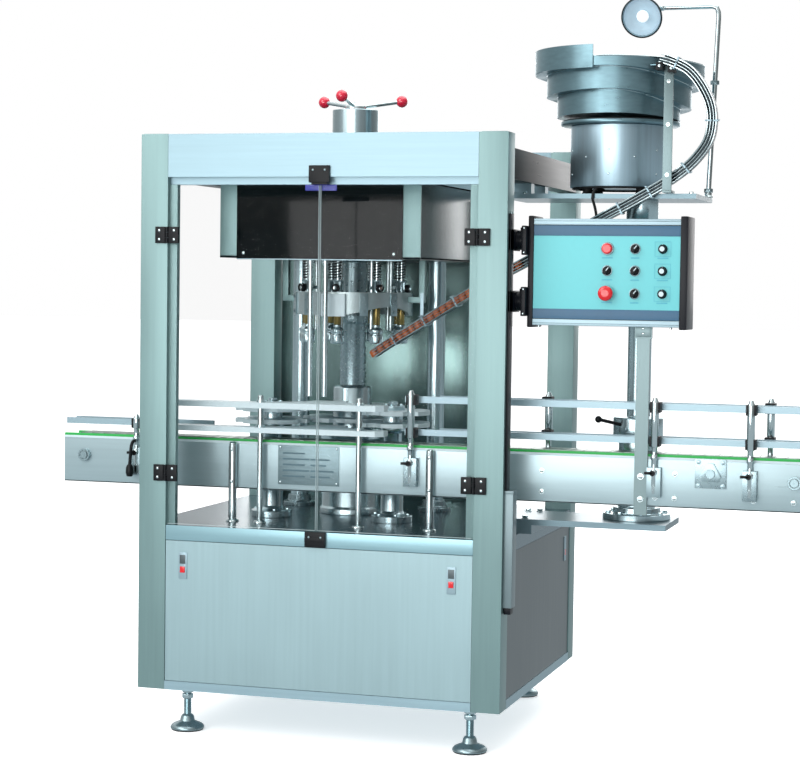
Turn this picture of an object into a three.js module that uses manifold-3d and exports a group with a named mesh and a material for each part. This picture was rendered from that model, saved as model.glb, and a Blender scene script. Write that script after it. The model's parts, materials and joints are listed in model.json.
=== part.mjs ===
// Rotary bottle-capping machine: a guarded cabinet with a rotating capping head, an in-line
// conveyor, a vibratory cap feeder on a side column, a cap chute and a control box on an arm.
// Millimetres, +Z up, +X along the conveyor, +Y from the operator's side to the back.
import * as THREE from 'three';
import { mergeVertices } from 'three/addons/utils/BufferGeometryUtils.js';
import Module from 'manifold-3d';

const wasm = await Module();
wasm.setup();

// ---- driving dimensions --------------------------------------------------------------------
const GAP = 0.3;                         // clearance between pieces that touch
const CABINET = { width: 1100, depth: 975, top: 1750, bottom: 126 };
const POST = { width: 84.5, depth: 76 };
const BASE_TOP = 152;                    // upper face of the bottom slab
const DECK = { bottom: 567.5, top: 612 };
const PANEL_T = 6;
const BEAM = { frontBottom: 1626, ledgeBottom: 1605, sideBottom: 1622, sideTop: 1709, sideWidth: 60 };
const DOOR = { thickness: 8, front: 2, bottom: 616, top: 1602, reveal: 3.5 };
const HINGE = { heights: [765, 1458], height: 48, stand: 10, leaf: 35 };
const FOOT = { padR: 50, stemR: 11 };
const FOOT_SPOTS = {
  front_left: [-415, 60],
  front_right: [450, 60],
  rear_left: [-415, 915],
  rear_right: [400, 915],
};

const BELT = { left: -876, right: 1400, front: 175, back: 280, bottom: 710, sideTop: 852, top: 860 };
const BELT_POSTS = { r: 12, y: 164, spots: [[-320, 850], [291, 848]] };   // x and top of each
const CHAIN = { radius: 67.5, thickness: 5, endInset: 0.6, front: 184, back: 271 };
const LANE_Y = 227.5;
const BOTTLE_R = 25;
const RAIL = { thick: 10, clearance: 2.5 };

const TURRET = { x: -70, pitchR: 155, heads: 8 };
const STAR = { pockets: 6, pitchR: 116.25, thick: 12 };
const starOffset = (TURRET.pitchR + STAR.pitchR) * Math.SQRT1_2;   // stars sit 45 degrees off the lane
STAR.y = LANE_Y + STAR.pitchR;
TURRET.y = STAR.y + starOffset;
const STAR_LEVELS = [900, 936];          // heights of the star discs' lower faces
const GUIDE = { levels: [[880, 896], [953, 970]], front: 140, left: -540, right: 150, back: 201 };
const HEAD = { halfWidth: 312, front: 200, back: 840, bottom: 1397, top: 1624, skin: 6 };
const HUB = { r: 72, top: 1858 };
const COLUMN = { r: 28, reach: 225, y: 690, bottom: 470 };
const CAM = { inner: 170, outer: 180, bottom: 1225, top: 1298 };
const CARRIER = { bottom: 1406, top: 1426, r: 186, shaftR: 40, well: 192 };
const SLIDE_ROD = { r: 7, pitchR: 121, bottom: 1190 };
const SPINDLE = { rodR: 7, chuckR: 21, chuckBottom: 1142, top: 1436 };

const BRACKET = { left: 585, right: 972, front: 205, back: 441, top: 655, thick: 17 };
const SUPPORT = { x: 862, y: 354 };      // feeder column axis
const PLATFORM = { left: 470, right: 1032, front: 250, back: 560, bottom: 1576, top: 1590 };
const FEEDER = { x: 784, y: 405, drumR: 143, drumBottom: 1612, drumTop: 1806 };
const BOWL_TIERS = [[178, 1866], [210, 1924], [245, 1972]];   // outer radius and top of each tier
const HOOD = { from: 150, to: 262, bottom: 1938, top: 2003, skin: 4 };   // raised wall, degrees from +X
const LAMP = { x: 1024, y: 530, top: 2149, lean: 21, headX: 828, headZ: 2131, shadeR: 60 };
const BOX = { left: 603, right: 1015, front: 100, back: 212, bottom: 1216, top: 1513 };
const CAP = { left: 587, right: 1036, front: 97, back: 214, bottom: 1209, top: 1521 };   // the box's ends
const REAR_GUARD_RIGHT = 290;            // the guard leaves the feeder side of the back open
const KEYS = { columns: [812, 890, 967], rows: [1431, 1370, 1307] };   // places on the panel
const PRESS = 5;                         // travel of the two push buttons

// ---- materials -----------------------------------------------------------------------------
const finishes = {
  satin: [0xa5bfc6, 0.35, 0.85],
  frame: [0x8ba6a6, 0.4, 0.8],
  beam: [0xafcfd9, 0.4, 0.6],
  bright: [0xc8d6da, 0.18, 1],
  dark: [0x2a3438, 0.25, 0.4],
  black: [0x15181c, 0.45, 0],
  white: [0xddf3fa, 0.45, 0],
  clear: [0xdfeff2, 0.05, 0],
  cyan: [0x80e6ea, 0.45, 0],
  red: [0xe8121c, 0.3, 0],
  cable: [0x1c1f22, 0.6, 0],
  brass: [0xb9a468, 0.3, 0.9],
};

function material(finish) {
  const [color, roughness, metalness] = finishes[finish];
  const clear = finish === 'clear';
  const opacity = clear ? 0.3 : 1;
  return new THREE.MeshStandardMaterial({ color, roughness, metalness, transparent: clear, opacity });
}

// ---- geometry helpers ----------------------------------------------------------------------
const machine = new THREE.Group();
machine.name = 'capping_machine';

function add(name, geometry, finish) {
  const mesh = new THREE.Mesh(geometry, material(finish));
  mesh.name = name;
  machine.add(mesh);
  return mesh;
}

function box(x0, x1, y0, y1, z0, z1) {
  const geometry = new THREE.BoxGeometry(x1 - x0, y1 - y0, z1 - z0);
  return geometry.translate((x0 + x1) / 2, (y0 + y1) / 2, (z0 + z1) / 2);
}

// An upright solid of revolution from a closed list of [radius, height] points.
function turned(profile, segments = 20) {
  const points = profile.map(([r, z]) => new THREE.Vector2(r, z));
  return new THREE.LatheGeometry(points, segments).rotateX(Math.PI / 2);
}

function disc(r, z0, z1, segments = 20) {
  return turned([[0, z0], [r, z0], [r, z1], [0, z1]], segments);
}

// A round bar between two points.
function bar(from, to, r, segments = 12) {
  const a = new THREE.Vector3(...from);
  const b = new THREE.Vector3(...to);
  const direction = b.clone().sub(a);
  const geometry = new THREE.CylinderGeometry(r, r, direction.length(), segments);
  const turn = new THREE.Quaternion().setFromUnitVectors(new THREE.Vector3(0, 1, 0), direction.normalize());
  return geometry.applyQuaternion(turn).translate(...a.add(b).multiplyScalar(0.5).toArray());
}

function plate(points, z0, z1) {
  const shape = new THREE.Shape(points.map(([x, y]) => new THREE.Vector2(x, y)));
  return new THREE.ExtrudeGeometry(shape, { depth: z1 - z0, bevelEnabled: false }).translate(0, 0, z0);
}

function solid(geometry) {
  const bare = geometry.clone();
  bare.deleteAttribute('normal');
  bare.deleteAttribute('uv');
  const merged = mergeVertices(bare, 1e-3);
  const vertProperties = new Float32Array(merged.attributes.position.array);
  const triVerts = new Uint32Array(merged.index.array);
  return new wasm.Manifold(new wasm.Mesh({ numProp: 3, vertProperties, triVerts }));
}

function surface(manifold) {
  const mesh = manifold.getMesh();
  const geometry = new THREE.BufferGeometry();
  geometry.setAttribute('position', new THREE.BufferAttribute(new Float32Array(mesh.vertProperties), 3));
  geometry.setIndex(new THREE.BufferAttribute(new Uint32Array(mesh.triVerts), 1));
  geometry.computeVertexNormals();
  return geometry;
}

function join(...geometries) {
  return surface(geometries.map(solid).reduce((a, b) => a.add(b)));
}

function cut(geometry, ...tools) {
  return surface(tools.map(solid).reduce((a, b) => a.subtract(b), solid(geometry)));
}

// ---- cabinet frame -------------------------------------------------------------------------
const halfW = CABINET.width / 2;
const innerX = halfW - POST.width;
const backPostY = CABINET.depth - POST.depth;

function sideFrame(side) {
  const [x0, x1] = side < 0 ? [-halfW, -innerX] : [innerX, halfW];
  const [b0, b1] = side < 0 ? [-halfW, -halfW + BEAM.sideWidth] : [halfW - BEAM.sideWidth, halfW];
  const leafIn = side * (innerX + 7.5);
  const leafOut = side * (innerX + HINGE.leaf);
  const parts = [
    box(x0, x1, 0, POST.depth, CABINET.bottom, CABINET.top),
    box(x0, x1, backPostY, CABINET.depth, CABINET.bottom, CABINET.top),
    box(b0, b1, POST.depth - 1, backPostY + 1, BEAM.sideBottom, BEAM.sideTop),
  ];
  for (const z of HINGE.heights) {
    const [l0, l1] = [Math.min(leafIn, leafOut), Math.max(leafIn, leafOut)];
    parts.push(box(l0, l1, -HINGE.stand, 1, z - HINGE.height / 2, z + HINGE.height / 2));
  }
  return join(...parts);
}

function crossBeam(y0, y1, ledgeY0, ledgeY1) {
  const inner = innerX - GAP;
  return join(
    box(-inner, inner, y0, y1, BEAM.frontBottom, CABINET.top),
    box(-inner, inner, ledgeY0, ledgeY1, BEAM.ledgeBottom, BEAM.frontBottom + 1),
  );
}

function postNotches(z0, z1) {
  const inner = innerX - GAP;
  const tools = [];
  for (const [x0, x1] of [[-halfW - 1, -inner], [inner, halfW + 1]]) {
    tools.push(box(x0, x1, -1, POST.depth + GAP, z0, z1));
    tools.push(box(x0, x1, backPostY - GAP, CABINET.depth + 1, z0, z1));
  }
  return tools;
}

const columnSpots = [-1, 1].map((side) => [TURRET.x + side * COLUMN.reach, COLUMN.y]);
const columnHoles = columnSpots.map(([x, y]) => (
  disc(COLUMN.r + 1.5, DECK.bottom - 1, DECK.top + 1).translate(x, y, 0)
));

add('left_frame', sideFrame(-1), 'frame');
add('right_frame', sideFrame(1), 'frame');
add('front_beam', crossBeam(0, POST.depth, 20, 62), 'beam');
add('rear_beam', crossBeam(backPostY, CABINET.depth, backPostY + 14, CABINET.depth - 20), 'beam');
add('base_plate', cut(
  box(-halfW, halfW, 0, CABINET.depth, CABINET.bottom, BASE_TOP),
  ...postNotches(CABINET.bottom - 1, BASE_TOP + 1),
), 'frame');
add('deck_plate', cut(
  box(-halfW + 2, halfW - 2, 3, CABINET.depth - 3, DECK.bottom + GAP, DECK.top),
  ...postNotches(DECK.bottom - 1, DECK.top + 1),
  ...columnHoles,
), 'satin');

// ---- lower panels and the rear cover -------------------------------------------------------
const panelBottom = BASE_TOP + 1;
const panelTop = DECK.bottom - 1;
const rearY = CABINET.depth - 2;
const sideY = [POST.depth + 1, backPostY - 1];
add('front_panel', box(-innerX + 1, innerX - 1, 3, 3 + PANEL_T, panelBottom, panelTop), 'satin');
add('right_panel', box(halfW - 3 - PANEL_T, halfW - 3, ...sideY, panelBottom, panelTop), 'satin');
add('left_panel', box(-halfW + 3, -halfW + 3 + PANEL_T, ...sideY, panelBottom, panelTop), 'satin');
add('rear_cover', join(
  box(-innerX + 1, innerX - 1, rearY - PANEL_T, rearY, panelBottom, DECK.bottom),
  box(-innerX + 1, innerX - 1, rearY - 0.7, CABINET.depth, DECK.bottom - 4, DECK.top + 4),
  box(-innerX + 1, REAR_GUARD_RIGHT, rearY - PANEL_T, rearY, DECK.top + 0.5, BEAM.ledgeBottom - 1),
), 'dark');

// ---- levelling feet ------------------------------------------------------------------------
const footProfile = [
  [0, 0], [FOOT.padR, 0], [FOOT.padR, 9], [FOOT.padR - 8, 16], [19, 24], [19, 40], [FOOT.stemR, 44],
  [FOOT.stemR, 98], [18, 98], [18, 112], [FOOT.stemR, 112], [FOOT.stemR, CABINET.bottom - GAP],
  [0, CABINET.bottom - GAP],
];
for (const [spot, [x, y]] of Object.entries(FOOT_SPOTS)) {
  add(`${spot}_foot`, turned(footProfile, 16), 'bright').position.set(x, y, 0);
}

// ---- guard doors ---------------------------------------------------------------------------
function door(side) {
  const outer = side * (innerX - DOOR.reveal);
  const [x0, x1] = [Math.min(outer, side * 2), Math.max(outer, side * 2)];
  const leafA = side * (innerX - 7.5);
  const leafB = side * (innerX - HINGE.leaf);
  const parts = [box(x0, x1, DOOR.front, DOOR.front + DOOR.thickness, DOOR.bottom, DOOR.top)];
  for (const z of HINGE.heights) {
    const [l0, l1] = [Math.min(leafA, leafB), Math.max(leafA, leafB)];
    parts.push(box(l0, l1, -HINGE.stand, DOOR.front + 1, z - HINGE.height / 2, z + HINGE.height / 2));
  }
  return join(...parts);
}
add('left_door', door(-1), 'clear');
add('right_door', door(1), 'clear');

// ---- conveyor ------------------------------------------------------------------------------
const drumX = {
  idler: BELT.left + CHAIN.endInset + CHAIN.radius,
  drive: BELT.right - CHAIN.endInset - CHAIN.radius,
};
const drumZ = BELT.top - CHAIN.radius;

function alongY(geometry, x, z) {
  return geometry.rotateX(-Math.PI / 2).translate(x, 0, z);
}

function racetrack(radius, y0, y1) {
  const shape = new THREE.Shape();
  shape.absarc(drumX.idler, drumZ, radius, Math.PI / 2, Math.PI * 1.5, false);
  shape.absarc(drumX.drive, drumZ, radius, -Math.PI / 2, Math.PI / 2, false);
  const options = { depth: y1 - y0, bevelEnabled: false, curveSegments: 12 };
  const geometry = new THREE.ExtrudeGeometry(shape, options);
  return geometry.rotateX(Math.PI / 2).translate(0, y1, 0);
}

const wall = 4;
const beltPosts = BELT_POSTS.spots.map(([x, top]) => (
  disc(BELT_POSTS.r, DECK.top + GAP, top, 16).translate(x, BELT_POSTS.y, 0)
));
add('conveyor_frame', cut(
  join(box(BELT.left, BELT.right, BELT.front, BELT.back, BELT.bottom, BELT.sideTop), ...beltPosts),
  box(BELT.left - 1, BELT.right + 1, BELT.front + wall, BELT.back - wall, BELT.bottom + wall, BELT.top),
  ...Object.values(drumX).map((x) => alongY(disc(14, BELT.front - 9, BELT.back + 9, 16), x, drumZ)),
), 'satin');
add('conveyor_chain', cut(
  racetrack(CHAIN.radius, CHAIN.front, CHAIN.back),
  racetrack(CHAIN.radius - CHAIN.thickness, CHAIN.front - 1, CHAIN.back + 1),
), 'bright');

function drumShaft(tail) {
  const drumR = CHAIN.radius - CHAIN.thickness - 1;
  return turned([
    [0, BELT.front - 12], [12, BELT.front - 12], [12, CHAIN.front + 6], [drumR, CHAIN.front + 6],
    [drumR, CHAIN.back - 6], [12, CHAIN.back - 6], [12, BELT.back + tail], [0, BELT.back + tail],
  ], 20);
}
add('idler_shaft', alongY(drumShaft(12), drumX.idler, drumZ), 'bright');
add('drive_shaft', alongY(drumShaft(40), drumX.drive, drumZ), 'bright');

// ---- guide rails beside the belt -----------------------------------------------------------
const railInner = BOTTLE_R + RAIL.clearance;

function rail(side, x0, x1, bars, brackets) {
  const face = LANE_Y + side * railInner;
  const back = face + side * RAIL.thick;
  const mast = side < 0 ? BELT.front - 14 : BELT.back + 14;
  const wallFace = side < 0 ? BELT.front - GAP : BELT.back + GAP;
  const outer = side < 0 ? BELT.front - 20 : BELT.back + 20;
  const [r0, r1] = [Math.min(face, back), Math.max(face, back)];
  const [c0, c1] = [Math.min(back - side, outer), Math.max(back - side, outer)];
  const [p0, p1] = [Math.min(wallFace, outer), Math.max(wallFace, outer)];
  const top = bars[bars.length - 1][1];
  const parts = bars.map(([z0, z1]) => box(x0, x1, r0, r1, z0, z1));
  for (const x of brackets) {
    parts.push(bar([x, mast, 770], [x, mast, top + 8], 7));
    parts.push(box(x - 16, x + 16, p0, p1, 745, 820));
    for (const [z0, z1] of bars) {
      parts.push(box(x - 13, x + 13, c0, c1, z0 - 4, z1 + 4));
    }
  }
  return join(...parts);
}
const low = [886, 904];
const high = [981, 1000];
add('infeed_front_rail', rail(-1, BELT.left, GUIDE.left - 6, [low], [-631]), 'satin');
add('infeed_rear_rail', rail(1, BELT.left, -420, [low], [-640]), 'satin');
add('outfeed_front_rail', rail(-1, 205, BELT.right, [low, high], [232, 944, 1211]), 'satin');
add('outfeed_rear_rail', rail(1, 292, BELT.right, [low, high], [610, 1250]), 'satin');

// ---- bottle guide plates on their posts ----------------------------------------------------
const starX = { left: TURRET.x - starOffset, right: TURRET.x + starOffset };

function guidePlate([z0, z1]) {
  const chamfer = 20;
  const outline = plate([
    [GUIDE.left, GUIDE.front], [GUIDE.right - chamfer, GUIDE.front], [GUIDE.right, GUIDE.front + chamfer],
    [GUIDE.right, GUIDE.back], [starX.right - 4, GUIDE.back], [starX.right - 4, STAR.y],
    [starX.left + 4, STAR.y], [starX.left + 4, GUIDE.back - 1], [GUIDE.left, GUIDE.back - 1],
  ], z0, z1);
  const hole = (r, x, y) => disc(r, z0 - 1, z1 + 1, 48).translate(x, y, 0);
  return cut(
    outline,
    hole(STAR.pitchR + BOTTLE_R, starX.left, STAR.y),
    hole(STAR.pitchR + BOTTLE_R, starX.right, STAR.y),
    hole(TURRET.pitchR + BOTTLE_R, TURRET.x, TURRET.y),
  );
}
add('bottle_guide', join(
  ...GUIDE.levels.map(guidePlate),
  ...[[-230, 155], [78, 152]].map(([x, y]) => bar([x, y, DECK.top + GAP], [x, y, 988], 8)),
), 'white');

// ---- star wheels and turret ----------------------------------------------------------------
function starOutline(outer, pitch, pockets, turn) {
  const shape = new THREE.Shape();
  const pocket = BOTTLE_R + 1;
  const opening = Math.acos((pitch ** 2 + pocket ** 2 - outer ** 2) / (2 * pitch * pocket));
  const half = Math.asin(pocket * Math.sin(opening) / outer);
  const span = Math.PI * 2 / pockets;
  const arcSteps = 5;
  const rimSteps = 2;
  for (let i = 0; i < pockets; i += 1) {
    const angle = turn + i * span;
    for (let step = 0; step <= arcSteps; step += 1) {
      const swing = angle + Math.PI + opening - step * 2 * opening / arcSteps;
      const x = pitch * Math.cos(angle) + pocket * Math.cos(swing);
      const y = pitch * Math.sin(angle) + pocket * Math.sin(swing);
      if (i === 0 && step === 0) shape.moveTo(x, y);
      else shape.lineTo(x, y);
    }
    for (let step = 1; step < rimSteps; step += 1) {
      const rim = angle + half + (span - 2 * half) * step / rimSteps;
      shape.lineTo(outer * Math.cos(rim), outer * Math.sin(rim));
    }
  }
  return shape;
}

function starWheel(outer, pitch, pockets, turn, levels) {
  return levels.map((z) => new THREE.ExtrudeGeometry(
    starOutline(outer, pitch, pockets, turn), { depth: STAR.thick, bevelEnabled: false },
  ).translate(0, 0, z));
}

const starTop = STAR_LEVELS[1] + STAR.thick;
for (const [side, x] of Object.entries(starX)) {
  const facing = Math.atan2(TURRET.y - STAR.y, TURRET.x - x);
  const wheel = join(
    ...starWheel(STAR.pitchR - 3, STAR.pitchR, STAR.pockets, facing, STAR_LEVELS),
    disc(34, DECK.top + GAP, starTop + 26, 20),
    disc(62, DECK.top + GAP, DECK.top + 26, 20),
  );
  add(`${side}_star`, wheel, 'white').position.set(x, STAR.y, 0);
}
const turretTop = starTop + 60;
const meshAngle = -Math.PI / 4;          // a pocket of the turret faces each star at rest
add('turret', join(
  ...starWheel(TURRET.pitchR - 3, TURRET.pitchR, TURRET.heads, meshAngle, STAR_LEVELS),
  disc(98, DECK.top + GAP, 868, 24),
  disc(60, 866, turretTop, 20),
), 'bright').position.set(TURRET.x, TURRET.y, 0);

// ---- capping head --------------------------------------------------------------------------
const spindleAngle = (i) => meshAngle + i * Math.PI * 2 / TURRET.heads;
function headSpots(radius) {
  return Array.from({ length: TURRET.heads }, (_, i) => {
    const angle = spindleAngle(i);
    return [radius * Math.cos(angle), radius * Math.sin(angle)];
  });
}
const spindleSpots = headSpots(TURRET.pitchR);
const slideSpots = headSpots(SLIDE_ROD.pitchR);

const headX = [TURRET.x - HEAD.halfWidth, TURRET.x + HEAD.halfWidth];
add('head_housing', join(
  cut(
    box(...headX, HEAD.front, HEAD.back, HEAD.bottom, HEAD.top),
    box(headX[0] + HEAD.skin, headX[1] - HEAD.skin, HEAD.front + HEAD.skin, HEAD.back + 1,
      HEAD.bottom + HEAD.skin, HEAD.top - HEAD.skin),
    disc(CARRIER.well, HEAD.bottom - 1, HEAD.bottom + HEAD.skin + 1, 40).translate(TURRET.x, TURRET.y, 0),
  ),
  disc(HUB.r, HEAD.top - 1, HUB.top, 32).translate(TURRET.x, TURRET.y, 0),
  ...columnSpots.map(([x, y]) => disc(COLUMN.r, COLUMN.bottom, HEAD.bottom + 1, 20).translate(x, y, 0)),
), 'dark');

function camRing() {
  const bore = disc(CAM.inner, CAM.bottom - 1, CAM.top + 1, 40);
  const ring = cut(disc(CAM.outer, CAM.bottom, CAM.top, 40), bore);
  const hangerX = 222;
  const armZ = [CAM.top - 30, CAM.top - 12];
  const hangers = [-1, 1].map((side) => (
    box(side * hangerX - 9, side * hangerX + 9, -9, 9, CAM.top - 30, HEAD.bottom - GAP)
  ));
  const arms = [-1, 1].map((side) => {
    const ends = [side * (CAM.inner + 4), side * hangerX];
    return box(Math.min(...ends), Math.max(...ends), -12, 12, ...armZ);
  });
  const block = box(-30, 30, -CAM.outer - 24, -CAM.inner - 4, CAM.bottom, CAM.top - 6);
  return join(ring, block, ...hangers, ...arms);
}
add('cam_ring', camRing(), 'white').position.set(TURRET.x, TURRET.y, 0);

add('spindle_carrier', cut(
  join(
    disc(CARRIER.r, CARRIER.bottom, CARRIER.top, 28),
    disc(CARRIER.shaftR, turretTop + 1, CARRIER.top, 20),
    ...slideSpots.map(([x, y]) => (
      disc(SLIDE_ROD.r, SLIDE_ROD.bottom, CARRIER.bottom + 1, 8).translate(x, y, 0)
    )),
  ),
  ...spindleSpots.map(([x, y]) => (
    disc(SPINDLE.rodR + 6, CARRIER.bottom - 1, CARRIER.top + 1, 12).translate(x, y, 0)
  )),
), 'bright').position.set(TURRET.x, TURRET.y, 0);

const { rodR, chuckR, chuckBottom } = SPINDLE;
const spindleProfile = [
  [0, chuckBottom], [chuckR - 3, chuckBottom], [chuckR, chuckBottom + 6], [chuckR, chuckBottom + 42],
  [12, chuckBottom + 50], [12, 1318], [rodR + 4, 1322], [rodR, 1326], [rodR, SPINDLE.top], [0, SPINDLE.top],
];
spindleSpots.forEach(([x, y], i) => {
  add(`spindle_${i + 1}`, turned(spindleProfile, 12), 'brass').position.set(TURRET.x + x, TURRET.y + y, 0);
});

// ---- head-height handwheel -----------------------------------------------------------------
const ARMS = { turns: [151, 271, 31], reach: 146, rise: 32, ballR: 18.5 };   // turns in degrees from +X
function handwheel() {
  const hub = HUB.top + GAP;
  const parts = [turned([[0, hub], [34, hub], [34, hub + 14], [20, hub + 22], [0, hub + 22]], 20)];
  for (const degrees of ARMS.turns) {
    const turn = degrees * Math.PI / 180;
    const tip = [ARMS.reach * Math.cos(turn), ARMS.reach * Math.sin(turn), hub + ARMS.rise];
    parts.push(bar([14 * Math.cos(turn), 14 * Math.sin(turn), hub + 10], tip, 6, 8));
    parts.push(new THREE.SphereGeometry(ARMS.ballR, 10, 7).translate(...tip));
  }
  return join(...parts);
}
add('handwheel', handwheel(), 'red').position.set(TURRET.x, TURRET.y, 0);

// ---- feeder support ------------------------------------------------------------------------
add('support_bracket', join(
  box(BRACKET.left - 2, BRACKET.right, BRACKET.front, BRACKET.back, BRACKET.top - BRACKET.thick, BRACKET.top),
  box(500, BRACKET.left, BRACKET.front, BRACKET.back, DECK.top + GAP, BRACKET.top),
), 'satin');
const flange = BRACKET.top + GAP;
add('support_column', turned([
  [0, flange], [98, flange], [98, flange + 17], [68, flange + 17], [68, flange + 34], [55, flange + 34],
  [55, 886], [72, 886], [72, 950], [34, 950], [34, 1508], [46, 1514], [46, PLATFORM.bottom - GAP],
  [0, PLATFORM.bottom - GAP],
], 20), 'satin').position.set(SUPPORT.x, SUPPORT.y, 0);
add('feeder_platform', join(
  box(PLATFORM.left, PLATFORM.right, PLATFORM.front, PLATFORM.back, PLATFORM.bottom, PLATFORM.top),
  box(495, 545, 300, 340, PLATFORM.top - 1, BEAM.sideBottom - GAP),
  box(495, 545, 480, 520, PLATFORM.top - 1, BEAM.sideBottom - GAP),
), 'satin');
add('panel_bar', join(
  box(887, 924, BELT.front - 10, BELT.front - GAP, 686, BOX.bottom - GAP),
  box(882, 930, BELT.front - 13, BELT.front - GAP, BOX.bottom - 34, BOX.bottom - GAP),
), 'satin');

// ---- cap feeder ----------------------------------------------------------------------------
function swept(points, section, steps) {
  const curve = new THREE.CatmullRomCurve3(points.map((p) => new THREE.Vector3(...p)), false, 'centripetal');
  const options = { steps, bevelEnabled: false, extrudePath: curve };
  return new THREE.ExtrudeGeometry(new THREE.Shape(section), options);
}

function ring(r, sides) {
  return Array.from({ length: sides }, (_, i) => {
    const turn = i * Math.PI * 2 / sides;
    return new THREE.Vector2(r * Math.cos(turn), r * Math.sin(turn));
  });
}

const cableRoute = [
  [738, 300, 1640], [738, 266, 1640], [738, 250, 1630], [738, 243, 1608], [738, 243, 1583], [740, 252, 1562],
  [743, 266, 1540], [746, 272, 1505], [748, 264, 1470], [748, 244, 1446], [748, 226, 1440],
  [748, BOX.back + 1, 1440],
];
add('feeder_drum', join(
  disc(FEEDER.drumR, FEEDER.drumBottom, FEEDER.drumTop - GAP, 28).translate(FEEDER.x, FEEDER.y, 0),
  ...[45, 135, 225, 315].map((degrees) => {
    const turn = degrees * Math.PI / 180;
    return disc(17, PLATFORM.top + GAP, FEEDER.drumBottom + 1, 12)
      .translate(FEEDER.x + 110 * Math.cos(turn), FEEDER.y + 110 * Math.sin(turn), 0);
  }),
  swept(cableRoute, ring(4, 8), 20),
), 'bright');

function bowl() {
  const [[r1, z1], [r2, z2], [r3, z3]] = BOWL_TIERS;
  const skin = 14;
  const bottom = FEEDER.drumTop;
  return turned([
    [0, bottom], [r1, bottom], [r1, z1], [r2, z1], [r2, z2], [r3, z2], [r3, z3], [r3 - 4, z3],
    [r3 - 4, z2 + skin], [r2 - skin, z2 + skin], [r2 - skin, z1 + skin], [r1 - skin, z1 + skin],
    [r1 - skin, bottom + skin], [40, bottom + skin + 22], [0, bottom + skin + 30],
  ], 28);
}
function bowlHood() {
  const outer = BOWL_TIERS[2][0] + 2;
  const edge = (r, degrees) => [r * Math.cos(degrees * Math.PI / 180), r * Math.sin(degrees * Math.PI / 180)];
  const turns = Array.from({ length: 9 }, (_, i) => HOOD.from + (HOOD.to - HOOD.from) * i / 8);
  const outline = [
    ...turns.map((degrees) => edge(outer, degrees)),
    ...turns.reverse().map((degrees) => edge(outer - HOOD.skin, degrees)),
  ];
  return plate(outline, HOOD.bottom, HOOD.top);
}
add('feeder_bowl', join(bowl(), bowlHood()), 'bright').position.set(FEEDER.x, FEEDER.y, 0);

const chuteRoute = [
  [938, 190, 1962], [969, 182, 1952], [1017, 182, 1927], [1058, 186, 1875], [1080, 194, 1816],
  [1073, 204, 1742], [1037, 214, 1688], [978, 222, 1638], [856, 229, 1566], [773, 235, 1523],
  [590, 268, 1421], [396, 300, 1320], [197, 360, 1207], [100, 392, 1152], [36, 402, 1112],
];
const CHUTE = { half: 15, post: [944, 970], postY: [198, 206] };
const { half } = CHUTE;
const halves = [[-half, -half], [half, -half], [half, half], [-half, half]];
const square = halves.map(([a, b]) => new THREE.Vector2(a, b));
add('cap_chute', join(
  swept(chuteRoute, square, 40),
  box(...CHUTE.post, ...CHUTE.postY, PLATFORM.top + 6, 1958),
  box(...CHUTE.post, CHUTE.postY[0], PLATFORM.front + 14, PLATFORM.top + GAP, PLATFORM.top + 8),
), 'dark');

// ---- work lamp -----------------------------------------------------------------------------
const lampTop = [LAMP.x + LAMP.lean, LAMP.y, LAMP.top];
const lampJoint = [LAMP.headX + LAMP.shadeR - 10, LAMP.y - 4, LAMP.top - 1];
add('lamp_pole', join(
  bar([LAMP.x, LAMP.y, PLATFORM.top + GAP], lampTop, 8, 10),
  bar(lampTop, lampJoint, 8, 10),
  new THREE.SphereGeometry(8.2, 10, 8).translate(...lampTop),
  disc(14, PLATFORM.top + GAP, PLATFORM.top + 14, 12).translate(LAMP.x, LAMP.y, 0),
), 'beam');
const shadeTilt = 0.32;                  // radians the shade looks down from level
const lampShade = turned([
  [0, 0], [16, 0], [24, 12], [44, 26], [LAMP.shadeR, 52], [LAMP.shadeR, 57], [LAMP.shadeR - 3, 57],
  [LAMP.shadeR - 5, 52], [40, 30], [14, 20], [0, 20],
], 18);
lampShade.rotateX(Math.PI / 2 + shadeTilt);
add('lamp_head', lampShade, 'beam').position.set(LAMP.headX, LAMP.y - 10, LAMP.headZ);

// ---- control box and its arms --------------------------------------------------------------
const ARM = { r: 27, y: 100, heights: [1452, 1281] };
const mastX = halfW + GAP;
add('control_mast', join(
  box(mastX, 576, 14, 58, 424, 752),
  box(mastX + 2, 572, 18, 54, 405, 426),
  box(mastX, 557, 14, 50, 750, 1525),
  ...ARM.heights.map((z) => box(mastX, 557, 14, 128, z - 30, z + 30)),
  ...ARM.heights.map((z) => bar([555, ARM.y, z], [574, ARM.y, z], ARM.r, 16)),
  ...ARM.heights.map((z) => box(573, CAP.left - GAP, 72, 130, z - 41, z + 41)),
), 'black');

function facing(geometry, column, row) {
  return geometry.rotateX(Math.PI / 2).translate(KEYS.columns[column], BOX.front, KEYS.rows[row]);
}
const pocketDepth = 2 + PRESS + 2;
add('control_box', cut(
  join(
    box(BOX.left, BOX.right, BOX.front, BOX.back, BOX.bottom, BOX.top),
    box(CAP.left, BOX.left + 1, CAP.front, CAP.back, CAP.bottom, CAP.top),
    box(BOX.right - 1, CAP.right, CAP.front, CAP.back, CAP.bottom, CAP.top),
  ),
  facing(disc(15.6, -pocketDepth, 1, 20), 0, 0),
  facing(disc(12.6, -pocketDepth, 1, 20), 0, 2),
), 'cyan');
add('start_button', facing(turned([[0, -2], [15, -2], [15, 11], [13, 14], [0, 14]], 16), 0, 0), 'red');
add('stop_button', facing(turned([
  [0, -2], [12, -2], [12, 10], [18, 12], [21, 17], [21, 22], [17, 27], [0, 28],
], 16), 0, 2), 'red');

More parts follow.
